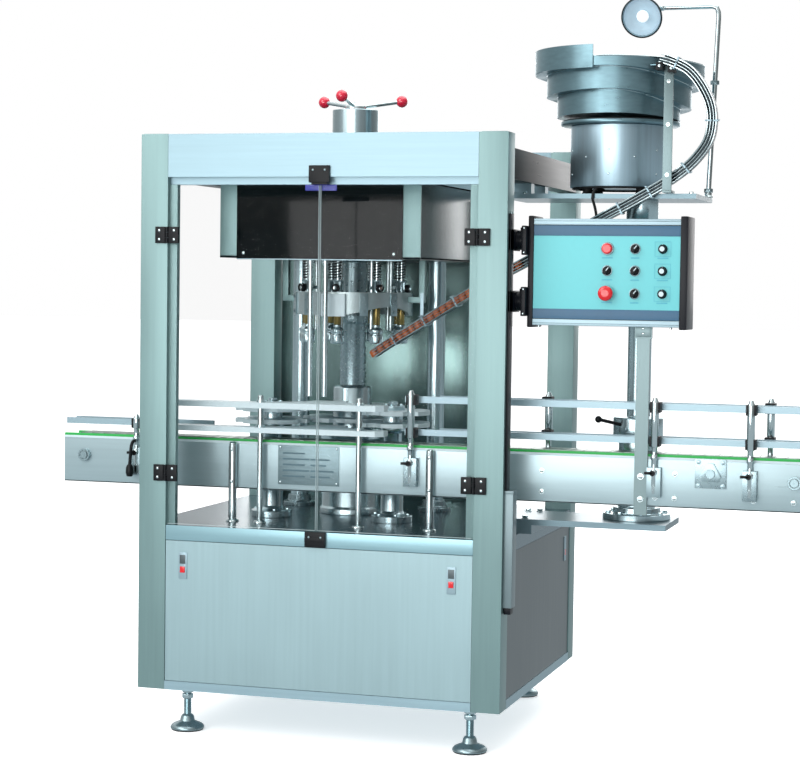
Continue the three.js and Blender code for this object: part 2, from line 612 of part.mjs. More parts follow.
const selectorPlaces = [[1, 0], [0, 1], [1, 1], [1, 2]];
selectorPlaces.forEach(([column, row], i) => {
  const knob = join(disc(12.5, GAP, 9, 16), box(-4.5, 4.5, -12, 12, 8, 19));
  add(`selector_${i + 1}`, facing(knob, column, row), 'black');
});
KEYS.rows.forEach((_, row) => {
  const dial = turned([[0, GAP], [13, GAP], [13, 6], [10, 8], [9, 17], [0, 17]], 16);
  add(`dial_${row + 1}`, facing(dial, 2, row), 'black');
});

// ---- the whole machine stands centred over the origin --------------------------------------
machine.position.set(-(BELT.left + BELT.right) / 2, -(CABINET.depth - HINGE.stand) / 2, 0);

export default machine;
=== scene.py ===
"""Looks of the rotary capping machine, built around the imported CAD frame.

Every piece is drawn in cabinet millimetres (X from the cabinet's middle, Y from its front face, Z from the
floor) and moved into the row frame, in metres, when it is finished.
"""
import json
import math

import bmesh
import bpy
from mathutils import Matrix, Vector


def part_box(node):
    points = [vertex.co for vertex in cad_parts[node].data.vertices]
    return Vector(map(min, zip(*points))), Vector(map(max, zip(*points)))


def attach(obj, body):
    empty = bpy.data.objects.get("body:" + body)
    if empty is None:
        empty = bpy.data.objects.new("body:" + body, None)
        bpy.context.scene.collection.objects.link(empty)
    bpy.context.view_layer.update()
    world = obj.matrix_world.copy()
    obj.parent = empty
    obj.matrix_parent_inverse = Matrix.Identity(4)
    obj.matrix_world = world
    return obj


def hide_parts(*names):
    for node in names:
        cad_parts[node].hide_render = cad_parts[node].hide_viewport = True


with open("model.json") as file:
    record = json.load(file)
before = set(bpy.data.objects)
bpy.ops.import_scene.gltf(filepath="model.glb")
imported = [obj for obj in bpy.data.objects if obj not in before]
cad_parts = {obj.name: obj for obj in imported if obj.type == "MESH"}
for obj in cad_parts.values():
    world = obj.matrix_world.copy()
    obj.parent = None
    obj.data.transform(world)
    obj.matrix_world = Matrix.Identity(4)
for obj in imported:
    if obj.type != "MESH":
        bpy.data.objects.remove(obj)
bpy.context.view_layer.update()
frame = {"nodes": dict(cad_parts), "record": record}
NODES = frame["nodes"]
SLOTS = {entry["node"]: entry["material_slot"] for entry in frame["record"]["subparts"]}
SCENE = bpy.context.scene
MM = 0.001


# ---- places taken from the frame -----------------------------------------------------------
def corners(node):
    return [Vector(corner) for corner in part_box(node)]


CABINET_X = (corners("left_frame")[0].x + corners("right_frame")[1].x) / 2
FRONT_Y = corners("front_beam")[0].y
TO_ROW = Matrix.Translation((CABINET_X, FRONT_Y, 0)) @ Matrix.Scale(MM, 4)
TO_CABINET = TO_ROW.inverted()


def sides(node):
    """x0, x1, y0, y1, z0, z1 of a node's box, in cabinet millimetres."""
    low, high = (TO_CABINET @ corner for corner in corners(node))
    return low.x, high.x, low.y, high.y, low.z, high.z


def axis_of(node):
    """Where a node's upright axis stands: x, y in cabinet millimetres."""
    x0, x1, y0, y1, _, _ = sides(node)
    return (x0 + x1) / 2, (y0 + y1) / 2


HALF_WIDTH = sides("right_frame")[1]
DEPTH = sides("rear_beam")[3]
POST_TOP = sides("left_frame")[5]
POST_BOTTOM = sides("left_frame")[4]
POST_WIDTH = 84.5
POST_DEPTH = sides("front_beam")[3]
POST_INNER = HALF_WIDTH - POST_WIDTH
DECK_TOP = sides("deck_plate")[5]
DECK_BOTTOM = sides("deck_plate")[4]
BELT_LEFT, BELT_RIGHT, _, BELT_BACK, _, BELT_EDGE = sides("conveyor_frame")
BELT_FRONT, BELT_BOTTOM = 175, 710
BELT_TOP = sides("conveyor_chain")[5]
TURRET_X, TURRET_Y = axis_of("turret")
FEEDER_X, FEEDER_Y = axis_of("feeder_bowl")
COLUMN_X, COLUMN_Y = axis_of("support_column")


# ---- camera, light and floor ---------------------------------------------------------------
CAMERA_PLACE = Vector((1935.5, -5572.5, 1323.8))
CAMERA_YAW, CAMERA_PITCH, CAMERA_ROLL = (math.radians(a) for a in (16.860, 2.975, 0.795))
CAMERA_LENS = 93.13


def camera():
    forward = Vector((-math.sin(CAMERA_YAW) * math.cos(CAMERA_PITCH),
                      math.cos(CAMERA_YAW) * math.cos(CAMERA_PITCH), -math.sin(CAMERA_PITCH)))
    level = Vector((math.cos(CAMERA_YAW), math.sin(CAMERA_YAW), 0))
    lift = level.cross(forward)
    right = level * math.cos(CAMERA_ROLL) + lift * math.sin(CAMERA_ROLL)
    up = lift * math.cos(CAMERA_ROLL) - level * math.sin(CAMERA_ROLL)
    data = bpy.data.cameras.new("camera")
    data.lens = CAMERA_LENS
    data.sensor_width = 36
    data.clip_end = 200
    eye = bpy.data.objects.new("camera", data)
    SCENE.collection.objects.link(eye)
    turn = Matrix((right, up, -forward)).transposed().to_4x4()
    eye.matrix_world = Matrix.Translation(TO_ROW @ CAMERA_PLACE) @ turn
    SCENE.camera = eye


def area_light(name, place, target, size, power, tint=(1, 1, 1)):
    data = bpy.data.lights.new(name, "AREA")
    data.shape = "RECTANGLE"
    data.size, data.size_y = size
    data.energy = power
    data.color = tint
    lamp = bpy.data.objects.new(name, data)
    SCENE.collection.objects.link(lamp)
    lamp.location = place
    lamp.rotation_euler = (Vector(target) - Vector(place)).to_track_quat("-Z", "Y").to_euler()


def ramp_on(nodes, links, source, stops):
    """A grey ramp over a coordinate that runs from -1 to 1."""
    shift = nodes.new("ShaderNodeMapRange")
    shift.inputs["From Min"].default_value = -1
    ramp = nodes.new("ShaderNodeValToRGB")
    for index, (place, value) in enumerate(stops):
        stop = ramp.color_ramp.elements[index] if index < 2 else ramp.color_ramp.elements.new(place)
        stop.position = place
        stop.color = (value, value, value, 1)
    links.new(source, shift.inputs["Value"])
    links.new(shift.outputs["Result"], ramp.inputs["Fac"])
    return ramp.outputs["Color"]


def studio():
    """A white surround for the camera, and a softer room of light and dark walls for the metal to mirror."""
    SCENE.view_settings.view_transform = "Standard"
    world = bpy.data.worlds.new("studio")
    world.use_nodes = True
    nodes, links = world.node_tree.nodes, world.node_tree.links
    white = nodes["Background"]
    white.inputs["Color"].default_value = (1, 1, 1, 1)
    place = nodes.new("ShaderNodeTexCoord")
    split = nodes.new("ShaderNodeSeparateXYZ")
    links.new(place.outputs["Generated"], split.inputs["Vector"])
    by_height = [(0, 0.5), (0.42, 0.5), (0.5, 0.45), (0.62, 0.8), (0.8, 1.0)]
    by_breadth = [(0, 0.55), (0.2, 1.0), (0.42, 0.7), (0.6, 1.0), (0.85, 0.4), (1, 0.25)]
    height = ramp_on(nodes, links, split.outputs["Z"], by_height)
    breadth = ramp_on(nodes, links, split.outputs["X"], by_breadth)
    walls = nodes.new("ShaderNodeMixRGB")
    walls.blend_type = "MULTIPLY"
    walls.inputs["Fac"].default_value = 1
    links.new(height, walls.inputs["Color1"])
    links.new(breadth, walls.inputs["Color2"])
    room = nodes.new("ShaderNodeBackground")
    room.inputs["Strength"].default_value = 1.25
    links.new(walls.outputs["Color"], room.inputs["Color"])
    seen = nodes.new("ShaderNodeLightPath")
    choose = nodes.new("ShaderNodeMixShader")
    links.new(seen.outputs["Is Camera Ray"], choose.inputs["Fac"])
    links.new(room.outputs["Background"], choose.inputs[1])
    links.new(white.outputs["Background"], choose.inputs[2])
    links.new(choose.outputs["Shader"], nodes["World Output"].inputs["Surface"])
    SCENE.world = world
    area_light("key", (-3.4, -5.2, 4.4), (0, 0, 1), (4, 4), 165)
    area_light("fill", (-0.9, -6.8, 1.3), (0, 0, 0.7), (4.5, 2.2), 150)
    area_light("back", (-0.6, 6.2, 2.6), (0, 0, 1), (5, 3), 110)
    area_light("top", (0.4, 0.6, 5.2), (0, 0, 0), (5, 5), 150)
    mesh = bpy.data.meshes.new("floor")
    reach = 60
    corner_points = [(-reach, -reach, 0), (reach, -reach, 0), (reach, reach, 0), (-reach, reach, 0)]
    mesh.from_pydata(corner_points, [], [(0, 1, 2, 3)])
    floor = bpy.data.objects.new("floor", mesh)
    SCENE.collection.objects.link(floor)
    floor.data.materials.append(MATERIALS["floor"])


# ---- materials -----------------------------------------------------------------------------
def linear(hex_color):
    """An sRGB colour such as "8BA6A6" as linear red, green, blue."""
    channels = [int(hex_color[i:i + 2], 16) / 255 for i in (0, 2, 4)]
    return [c / 12.92 if c <= 0.04045 else ((c + 0.055) / 1.055) ** 2.4 for c in channels]


def surface(name, color, metallic=0.0, roughness=0.4, grain=(40, 40, 40), contrast=0.08, rough_spread=0.08,
            bump=0.02, clouds=2.5, **fixed):
    """A procedural finish. grain is the fine noise's scale per metre along X, Y and Z; clouds is the broad one's."""
    material = bpy.data.materials.new(name)
    material.use_nodes = True
    nodes, links = material.node_tree.nodes, material.node_tree.links
    shader = nodes["Principled BSDF"]
    place = nodes.new("ShaderNodeTexCoord")
    stretch = nodes.new("ShaderNodeMapping")
    stretch.inputs["Scale"].default_value = grain
    links.new(place.outputs["Object"], stretch.inputs["Vector"])
    fine = nodes.new("ShaderNodeTexNoise")
    fine.inputs["Scale"].default_value = 1
    fine.inputs["Detail"].default_value = 4
    links.new(stretch.outputs["Vector"], fine.inputs["Vector"])
    broad = nodes.new("ShaderNodeTexNoise")
    broad.inputs["Scale"].default_value = clouds
    broad.inputs["Detail"].default_value = 2
    links.new(place.outputs["Object"], broad.inputs["Vector"])
    blend = nodes.new("ShaderNodeMath")
    blend.operation = "MULTIPLY_ADD"
    blend.inputs[1].default_value = 0.5
    links.new(fine.outputs["Fac"], blend.inputs[0])
    half = nodes.new("ShaderNodeMath")
    half.operation = "MULTIPLY"
    half.inputs[1].default_value = 0.5
    links.new(broad.outputs["Fac"], half.inputs[0])
    links.new(half.outputs["Value"], blend.inputs[2])
    ramp = nodes.new("ShaderNodeValToRGB")
    base = linear(color)
    ramp.color_ramp.elements[0].position = 0.3
    ramp.color_ramp.elements[1].position = 0.7
    ramp.color_ramp.elements[0].color = [c * (1 - contrast) for c in base] + [1]
    ramp.color_ramp.elements[1].color = [min(1, c * (1 + contrast)) for c in base] + [1]
    links.new(blend.outputs["Value"], ramp.inputs["Fac"])
    links.new(ramp.outputs["Color"], shader.inputs["Base Color"])
    spread = nodes.new("ShaderNodeMapRange")
    spread.inputs["To Min"].default_value = max(0.02, roughness - rough_spread)
    spread.inputs["To Max"].default_value = roughness + rough_spread
    links.new(blend.outputs["Value"], spread.inputs["Value"])
    links.new(spread.outputs["Result"], shader.inputs["Roughness"])
    relief = nodes.new("ShaderNodeBump")
    relief.inputs["Strength"].default_value = bump
    relief.inputs["Distance"].default_value = 0.0004
    links.new(fine.outputs["Fac"], relief.inputs["Height"])
    links.new(relief.outputs["Normal"], shader.inputs["Normal"])
    shader.inputs["Metallic"].default_value = metallic
    for socket, value in fixed.items():
        shader.inputs[socket.replace("_", " ")].default_value = value
    return material


ALONG_X = (3, 90, 90)
ALONG_Y = (90, 3, 90)
ALONG_Z = (90, 90, 3)
EVEN = (60, 60, 60)
def floor_surface():
    """A pale matt floor that the camera sees bright and the metal mirrors as a mid grey."""
    material = surface("floor", "FAFBFB", roughness=0.7, grain=(4, 4, 4), contrast=0.01, rough_spread=0.03, bump=0)
    nodes, links = material.node_tree.nodes, material.node_tree.links
    seen = nodes.new("ShaderNodeLightPath")
    glow = nodes.new("ShaderNodeEmission")
    glow.inputs["Color"].default_value = (0.86, 0.95, 1, 1)
    glow.inputs["Strength"].default_value = 0.62
    bright = nodes.new("ShaderNodeAddShader")
    lift = nodes.new("ShaderNodeEmission")
    lift.inputs["Strength"].default_value = 0.5
    choose = nodes.new("ShaderNodeMixShader")
    links.new(nodes["Principled BSDF"].outputs["BSDF"], bright.inputs[0])
    links.new(lift.outputs["Emission"], bright.inputs[1])
    links.new(seen.outputs["Is Camera Ray"], choose.inputs["Fac"])
    links.new(glow.outputs["Emission"], choose.inputs[1])
    links.new(bright.outputs["Shader"], choose.inputs[2])
    links.new(choose.outputs["Shader"], nodes["Material Output"].inputs["Surface"])
    return material


MATERIALS = {
    "floor": floor_surface(),
    "frame": surface("frame_steel", "7A9696", 0.5, 0.38, ALONG_Z, bump=0.05),
    # A near-black, low-reflecting copy of the frame steel for the side beams: painted shade on faces turned away from
    # the light.
    "frame_painted_shade": surface("side_beam_painted_shade", "0C1416", 0.0, 0.3, ALONG_Y, 0.2, bump=0.03, IOR=1.2),
    "beam": surface("beam_steel", "93AFB9", 0.4, 0.36, ALONG_X, bump=0.05),
    "ledge": surface("deck_edge_steel", "8FB3BC", 0.6, 0.3, ALONG_X, 0.06, bump=0.04),
    "panel": surface("panel_steel", "96B0B5", 0.5, 0.36, ALONG_Z, 0.06, bump=0.05),
    # A darker copy of the panel steel for the side panels, the lower rear panel and the latch recesses: painted shade.
    "panel_painted_shade": surface("panel_steel_painted_shade", "545E61", 0.55, 0.32, ALONG_Z, bump=0.05),
    # The deck steel is darkened to stand for the dark cabinet inside that it mirrors: painted reflection and shade.
    "deck": surface("deck_painted_reflection", "546E78", 0.85, 0.24, ALONG_X, bump=0.03),
    "belt_side": surface("conveyor_steel", "A6BBC0", 0.55, 0.3, ALONG_X, 0.06, bump=0.015),
    "duct": surface("duct_steel", "75868A", 0.5, 0.34, ALONG_Z, 0.08, bump=0.04),
    "rack": surface("bracket_steel", "6E848C", 0.6, 0.3, ALONG_X, 0.08, bump=0.03),
    "bar": surface("upright_bar_steel", "6B7D7F", 0.6, 0.3, ALONG_Z, 0.08, bump=0.03),
    "steel": surface("turned_steel", "B2C6CB", 0.95, 0.22, ALONG_Z, 0.1, bump=0.05),
    "steel_even": surface("plain_steel", "8FA3A8", 0.9, 0.28, EVEN, 0.1, bump=0.04),
    "chrome": surface("polished_steel", "C4D2D4", 1.0, 0.12, EVEN, 0.04, 0.04, bump=0.01),
    "bowl": surface("bowl_steel", "74929B", 0.85, 0.3, (30, 30, 120), 0.16, bump=0.05),
    "drum": surface("drum_steel", "A9C1CC", 0.9, 0.34, (120, 120, 2), 0.14, bump=0.04),
    "mirror_dark": surface("rear_guard_steel", "6F8785", 0.85, 0.2, (14, 14, 0.4), 0.5, 0.06, bump=0.02),
    # A dark copy of the housing steel for the head's side and top walls: painted shade on the side face.
    "head_painted_shade": surface("head_side_painted_shade", "3A4749", 0.6, 0.2, ALONG_Z, 0.3, 0.05, bump=0.02),
    "black_gloss": surface("black_enamel", "04090A", 0.0, 0.08, EVEN, 0.2, 0.03, bump=0.01, IOR=1.25),
    "black": surface("black_plastic", "0B0E12", 0.0, 0.4, (300, 300, 300), 0.25, 0.1, bump=0.1, IOR=1.3),
    "navy": surface("navy_cap", "060B14", 0.0, 0.34, (300, 300, 300), 0.2, 0.1, bump=0.08, IOR=1.3),
    "rubber": surface("rubber", "0C0E0F", 0.0, 0.7, (400, 400, 400), 0.3, 0.1, bump=0.15),
    "white": surface("white_plastic", "CADCE1", 0.0, 0.38, EVEN, 0.04, 0.08, bump=0.02),
    "cam": surface("cam_steel", "A9B8BA", 0.6, 0.3, EVEN, 0.08, bump=0.02),
    "green": surface("green_strip", "1FA94A", 0.0, 0.45, EVEN, 0.08, bump=0.03),
    "slat": surface("belt_slats", "6F8078", 0.85, 0.3, ALONG_X, 0.14, bump=0.05),
    "cyan": surface("cyan_enamel", "6BCBD0", 0.0, 0.42, EVEN, 0.02, 0.06, bump=0.02),
    "band": surface("blue_band", "245B7C", 0.0, 0.36, EVEN, 0.05, 0.06, bump=0.02),
    "trim": surface("silver_trim", "93AAB3", 0.55, 0.36, ALONG_X, 0.06, bump=0.02),
    "red": surface("red_plastic", "D80C18", 0.0, 0.24, EVEN, 0.06, 0.05, bump=0.01, Coat_Weight=0.5),
    "ball": surface("ball_knob", "D01438", 0.0, 0.14, EVEN, 0.06, 0.04, bump=0.005, Coat_Weight=0.8),
    "blue": surface("catch_strip", "232F9C", 0.0, 0.3, EVEN, 0.15, bump=0.02),
    "brass": surface("brass", "8E7D4C", 0.95, 0.28, ALONG_Z, 0.12, bump=0.03),
    "cap": surface("bottle_cap", "A84E08", 0.0, 0.4, (200, 200, 200), 0.3, 0.1, bump=0.08),
    "chute": surface("chute_steel", "252F33", 0.7, 0.3, EVEN, 0.25, bump=0.04),
    "blank": surface("blank_print", "4FB4C6", 0.0, 0.42, EVEN, 0.05, 0.05, bump=0.01),
    "label": surface("blank_label", "4F6C76", 0.0, 0.5, EVEN, 0.1, bump=0.01),
    "plate": surface("etched_plate", "71858A", 0.8, 0.34, (25, 25, 140), 0.2, bump=0.08),
    "reflector": surface("lamp_reflector", "A9C0CC", 0.4, 0.3, EVEN, 0.06, bump=0.01, Emission_Strength=0.15,
                         Emission_Color=(0.75, 0.87, 1, 1)),
    "bulb": surface("lamp_bulb", "F4FAFA", 0.0, 0.3, EVEN, 0.01, 0.05, bump=0, Emission_Strength=0.5,
                    Emission_Color=(1, 1, 0.97, 1)),
    "clear": surface("clear_acrylic", "1E2829", 0.0, 0.05, (5, 5, 2), 0.02, 0.03, bump=0.005, Alpha=0.03, IOR=1.2),
    # Whitish strips for the acrylic pane edges: painted highlight where the edges catch the light.
    "edge": surface("acrylic_edge_painted_highlight", "BFD0D2", 0.0, 0.2, EVEN, 0.04, bump=0.01, Alpha=0.7),
}


# ---- shapes --------------------------------------------------------------------------------
def at(x, y, z):
    return Matrix.Translation((x, y, z))


def facing_front(x, y, z):
    """Turns a shape's +Z towards the operator."""
    return at(x, y, z) @ Matrix.Rotation(math.pi / 2, 4, "X")


def facing_side(x, y, z, side=1):
    """Turns a shape's +Z towards +X, or -X if side is -1."""
    return at(x, y, z) @ Matrix.Rotation(side * math.pi / 2, 4, "Y")


def softened(profile, size=1.0):
    """A lathe profile with each corner off the axis cut by a small chamfer."""
    result = [profile[0]]
    for before, corner, after in zip(profile, profile[1:], profile[2:]):
        a, b, c = Vector(before), Vector(corner), Vector(after)
        reach = min(size, (a - b).length * 0.4, (c - b).length * 0.4)
        if corner[0] <= 0 or reach < 0.02:
            result.append(corner)
            continue
        result.append(tuple(b + (a - b).normalized() * reach))
        result.append(tuple(b + (c - b).normalized() * reach))
    result.append(profile[-1])
    return result


class Solid:
    """Closed shapes gathered into one piece."""

    def __init__(self):
        self.bm = bmesh.new()

    def box(self, x0, x1, y0, y1, z0, z1, soft=1.0, place=Matrix.Identity(4)):
        centre = Vector(((x0 + x1) / 2, (y0 + y1) / 2, (z0 + z1) / 2))
        size = Vector((abs(x1 - x0), abs(y1 - y0), abs(z1 - z0)))
        made = bmesh.ops.create_cube(self.bm, size=1, matrix=place @ Matrix.Translation(centre) @ Matrix.Diagonal(size.to_4d()))
        if soft:
            edges = list({edge for vert in made["verts"] for edge in vert.link_edges})
            bmesh.ops.bevel(self.bm, geom=edges, offset=min(soft, min(size) * 0.45), segments=2, profile=0.7, affect="EDGES")
        return self

    def lathe(self, profile, place=Matrix.Identity(4), steps=40, soft=0.8):
        """A solid of revolution about Z from [radius, height] points that start and end on the axis."""
        points = softened(profile, soft) if soft else profile
        rings = []
        for r, z in points:
            if r <= 1e-6:
                rings.append([self.bm.verts.new(place @ Vector((0, 0, z)))])
                continue
            rings.append([
                self.bm.verts.new(place @ Vector((r * math.cos(k * math.tau / steps), r * math.sin(k * math.tau / steps), z)))
                for k in range(steps)])
        closed = points[0][0] > 1e-6
        pairs = list(zip(rings, rings[1:])) + ([(rings[-1], rings[0])] if closed else [])
        for low, high in pairs:
            for k in range(steps):
                ring = [low[k % len(low)], low[(k + 1) % len(low)], high[(k + 1) % len(high)], high[k % len(high)]]
                corners_once = list(dict.fromkeys(ring))
                if len(corners_once) > 2:
                    self.bm.faces.new(corners_once)
        return self

    def prism(self, outline, z0, z1, place=Matrix.Identity(4), soft=0.0):
        low = [self.bm.verts.new(place @ Vector((x, y, z0))) for x, y in outline]
        high = [self.bm.verts.new(place @ Vector((x, y, z1))) for x, y in outline]
        count = len(outline)
        faces = [self.bm.faces.new(low[::-1]), self.bm.faces.new(high)]
        for k in range(count):
            self.bm.faces.new((low[k], low[(k + 1) % count], high[(k + 1) % count], high[k]))
        if soft:
            edges = [edge for face in faces for edge in face.edges]
            bmesh.ops.bevel(self.bm, geom=edges, offset=soft, segments=2, profile=0.7, affect="EDGES")
        return self

    def sweep(self, points, section, side=None):
        """A closed section of (across, up) points carried along a line of points. side fixes which way is across."""
        path = [Vector(p) for p in points]
        rings = []
        across = None
        for k, point in enumerate(path):
            tangent = (path[min(k + 1, len(path) - 1)] - path[max(k - 1, 0)]).normalized()
            if side is not None:
                across = Vector(side)
            elif across is None:
                across = Vector((0, 0, 1)) if abs(tangent.z) < 0.9 else Vector((1, 0, 0))
            across = (across - tangent * across.dot(tangent)).normalized()
            up = tangent.cross(across)
            rings.append([self.bm.verts.new(point + across * a + up * b) for a, b in section])
        count = len(section)
        for low, high in zip(rings, rings[1:]):
            for k in range(count):
                self.bm.faces.new((low[k], low[(k + 1) % count], high[(k + 1) % count], high[k]))
        self.bm.faces.new(rings[0][::-1])
        self.bm.faces.new(rings[-1])
        return self

    def tube(self, points, radius, around=12):
        section = [(radius * math.cos(k * math.tau / around), radius * math.sin(k * math.tau / around)) for k in range(around)]
        return self.sweep(points, section)

    def ball(self, centre, radius):
        bmesh.ops.create_uvsphere(self.bm, u_segments=28, v_segments=18, radius=radius, matrix=Matrix.Translation(centre))
        return self

    def bolt(self, place, size=8.0, height=5.0):
        """A hexagon head on a washer, standing on the place's XY plane."""
        self.lathe([(0, 0), (size * 1.35, 0), (size * 1.35, 1.4), (0, 1.4)], place, 20, 0.4)
        outline = [(size * math.cos(k * math.tau / 6), size * math.sin(k * math.tau / 6)) for k in range(6)]
        return self.prism(outline, 1.3, height, place, 0.6)

    def screw(self, place, size=4.0):
        """A round head, standing on the place's XY plane."""
        self.lathe([(0, 0), (size, 0), (size, size * 0.3), (size * 0.6, size * 0.6), (0, size * 0.62)], place, 16, 0.2)
        return self

    def piece(self, name, material, body, slot, replaces=(), angle=32):
        bmesh.ops.recalc_face_normals(self.bm, faces=self.bm.faces)
        self.bm.transform(TO_ROW)
        mesh = bpy.data.meshes.new(name)
        self.bm.to_mesh(mesh)
        self.bm.free()
        mesh.materials.append(MATERIALS[material])
        mesh.polygons.foreach_set("use_smooth", [True] * len(mesh.polygons))
        mesh.set_sharp_from_angle(angle=math.radians(angle))
        made = bpy.data.objects.new(name, mesh)
        SCENE.collection.objects.link(made)
        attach(made, body)
        if replaces:
            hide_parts(*replaces)
        return made


def finish(node, material, edge=1.2):
    """Gives a CAD node its finish and breaks its sharp edges."""
    part = NODES[node]
    part.data.materials.clear()
    part.data.materials.append(MATERIALS[material])
    softener = part.modifiers.new("edges", "BEVEL")
    softener.width = edge * MM
    softener.segments = 2
    softener.limit_method = "ANGLE"
    softener.angle_limit = math.radians(50)


def smooth_line(points, per_span=8):
    """A centripetal Catmull-Rom curve through the points."""
    path = [Vector(p) for p in points]
    path = [path[0] * 2 - path[1]] + path + [path[-1] * 2 - path[-2]]
    result = []
    for a, b, c, d in zip(path, path[1:], path[2:], path[3:]):
        before, span, after = (math.sqrt((q - p).length) for p, q in ((a, b), (b, c), (c, d)))
        leave = ((b - a) / before - (c - a) / (before + span) + (c - b) / span) * span
        arrive = ((c - b) / span - (d - b) / (span + after) + (d - c) / after) * span
        for step in range(per_span):
            t = step / per_span
            result.append(b * (2 * t ** 3 - 3 * t ** 2 + 1) + leave * (t ** 3 - 2 * t ** 2 + t)
                          + c * (3 * t ** 2 - 2 * t ** 3) + arrive * (t ** 3 - t ** 2))
    result.append(path[-2])
    return result


def spot(radius, degrees, x=0.0, y=0.0):
    turn = math.radians(degrees)
    return x + radius * math.cos(turn), y + radius * math.sin(turn)


# ---- cabinet -------------------------------------------------------------------------------
HINGE_Z = [765, 1458]
HINGE_HEIGHT = 48
HINGE_PIN_Y = -5
GUARD_RIGHT = 290


def cabinet():
    beam_bottom, beam_top = 1622, 1709
    beam_width = 60
    for side, name in ((-1, "left"), (1, "right")):
        outer, inner = side * HALF_WIDTH, side * POST_INNER
        x0, x1 = min(outer, inner), max(outer, inner)
        posts = Solid()
        posts.box(x0, x1, 0, POST_DEPTH, POST_BOTTOM, POST_TOP, 2.5)
        posts.box(x0, x1, DEPTH - POST_DEPTH, DEPTH, POST_BOTTOM, POST_TOP, 2.5)
        posts.piece(f"{name}_posts", "frame", "machine", "frame_steel", [f"{name}_frame"])
        b0, b1 = sorted((outer, outer - side * beam_width))
        # The side beams take the near-black steel: painted shade.
        Solid().box(b0, b1, POST_DEPTH, DEPTH - POST_DEPTH, beam_bottom, beam_top, 2).piece(
            f"{name}_side_beam", "frame_painted_shade", "machine", "frame_steel", [f"{name}_frame"])
        s0, s1 = sorted((side * (POST_INNER + 0.5), side * (POST_INNER - 25)))
        Solid().box(s0, s1, 13, 34, DECK_TOP, 1604, 1.5).piece(
            f"{name}_door_stop", "frame", "machine", "frame_steel")
        caps = Solid()
        for y in (POST_DEPTH / 2, DEPTH - POST_DEPTH / 2):
            caps.box(x0 + 6, x1 - 6, y - POST_DEPTH / 2 + 6, y + POST_DEPTH / 2 - 6, POST_TOP - 1, POST_TOP + 1.5, 1)
        caps.piece(f"{name}_post_caps", "frame", "machine", "frame_steel")
    finish("front_beam", "beam")
    finish("rear_beam", "beam")
    finish("base_plate", "beam")
    # The deck takes the darkened steel: painted reflection of the dark inside.
    finish("deck_plate", "deck")
    Solid().box(-POST_INNER + 0.5, POST_INNER - 0.5, 2.2, 4, DECK_BOTTOM + 0.5, DECK_TOP - 0.5, 0.8).piece(
        "deck_front_edge", "ledge", "machine", "panel_steel")
    finish("front_panel", "panel")
    # The side panels take the darker panel steel: painted shade on the side faces.
    finish("left_panel", "panel_painted_shade")
    finish("right_panel", "panel_painted_shade")
    rear = sides("rear_cover")
    # The lower rear panel takes the same darker steel: painted shade.
    lower = Solid().box(rear[0], rear[1], DEPTH - 8, DEPTH - 2, rear[4], DECK_BOTTOM - 1, 1)
    lower.piece("rear_lower_panel", "panel_painted_shade", "machine", "panel_steel", ["rear_cover"])
    guard = Solid().box(rear[0], GUARD_RIGHT, DEPTH - 8, DEPTH - 2, DECK_BOTTOM + 1, rear[5], 1)
    guard.piece("rear_guard", "mirror_dark", "machine", "dark_cover", ["rear_cover"])
    screws = Solid()
    spots = [(x, z) for x in (rear[0] + 20, 0, rear[1] - 20) for z in (190, 380, 540)]
    spots += [(x, z) for x in (rear[0] + 20, -80, GUARD_RIGHT - 20) for z in (660, 980, 1300, 1580)]
    for x, z in spots:
        screws.screw(at(x, DEPTH - 2, z) @ Matrix.Rotation(-math.pi / 2, 4, "X"), 5)
    screws.piece("rear_screws", "chrome", "machine", "polished_steel")


def panel_latches():
    """Flush latches with a red slide, on the panels that lift off."""
    front = sides("front_panel")[2]
    for name, x in (("left", -410), ("right", 404)):
        Solid().box(x - 13, x + 13, front - 3, front + 0.5, 456, 533, 1.5).piece(
            f"{name}_latch_plate", "trim", "front_panel", "polished_steel")
        Solid().box(x - 7.5, x + 7.5, front - 5, front - 2, 474, 492, 1).piece(
            f"{name}_latch_slide", "red", "front_panel", "red_plastic")
        # The latch recess is a patch of the darker panel steel: painted shade in the recess.
        Solid().box(x - 9, x + 9, front - 3.6, front - 2.6, 500, 526, 0.4).piece(
            f"{name}_latch_recess", "panel_painted_shade", "front_panel", "panel_steel")
    for side, body in ((1, "right_panel"), (-1, "left_panel")):
        face = side * (HALF_WIDTH - 3)
        x0, x1 = sorted((face - side * 0.5, face + side * 2.6))
        Solid().box(x0, x1, 820, 846, 456, 534, 1.2).piece(f"{body}_latch", "trim", body, "polished_steel")
        x0, x1 = sorted((face + side * 2, face + side * 3))
        Solid().box(x0, x1, 826, 840, 474, 492, 0.5).piece(f"{body}_latch_slide", "red", body, "red_plastic")


def feet():
    for node in ("front_left_foot", "front_right_foot", "rear_left_foot", "rear_right_foot"):
        x, y = axis_of(node)
        pad = Solid().lathe([(0, 4), (50, 4), (50, 10), (44, 17), (22, 26), (19, 40), (14, 46), (0, 46)], at(x, y, 0), 40, 1.5)
        pad.piece(f"{node}_pad", "steel_even", "machine", "polished_steel", [node])
        Solid().lathe([(0, 0), (47, 0), (48, 4), (0, 4)], at(x, y, 0), 40, 0.8).piece(
            f"{node}_sole", "rubber", "machine", "black_plastic")
        stem = Solid()
        thread = [(0, 44)]
        turns = 26
        for turn in range(turns):
            z = 45 + turn * 3
            thread += [(10, z), (11.5, z + 1.5)]
        thread += [(10, 45 + turns * 3), (0, 45 + turns * 3)]
        stem.lathe(thread, at(x, y, 0), 24, 0)
        for z in (94, 111):
            outline = [spot(18, 60 * k) for k in range(6)]
            stem.prism(outline, z, z + 12, at(x, y, 0), 1.2)
        stem.piece(f"{node}_stem", "steel", "machine", "polished_steel", [node])


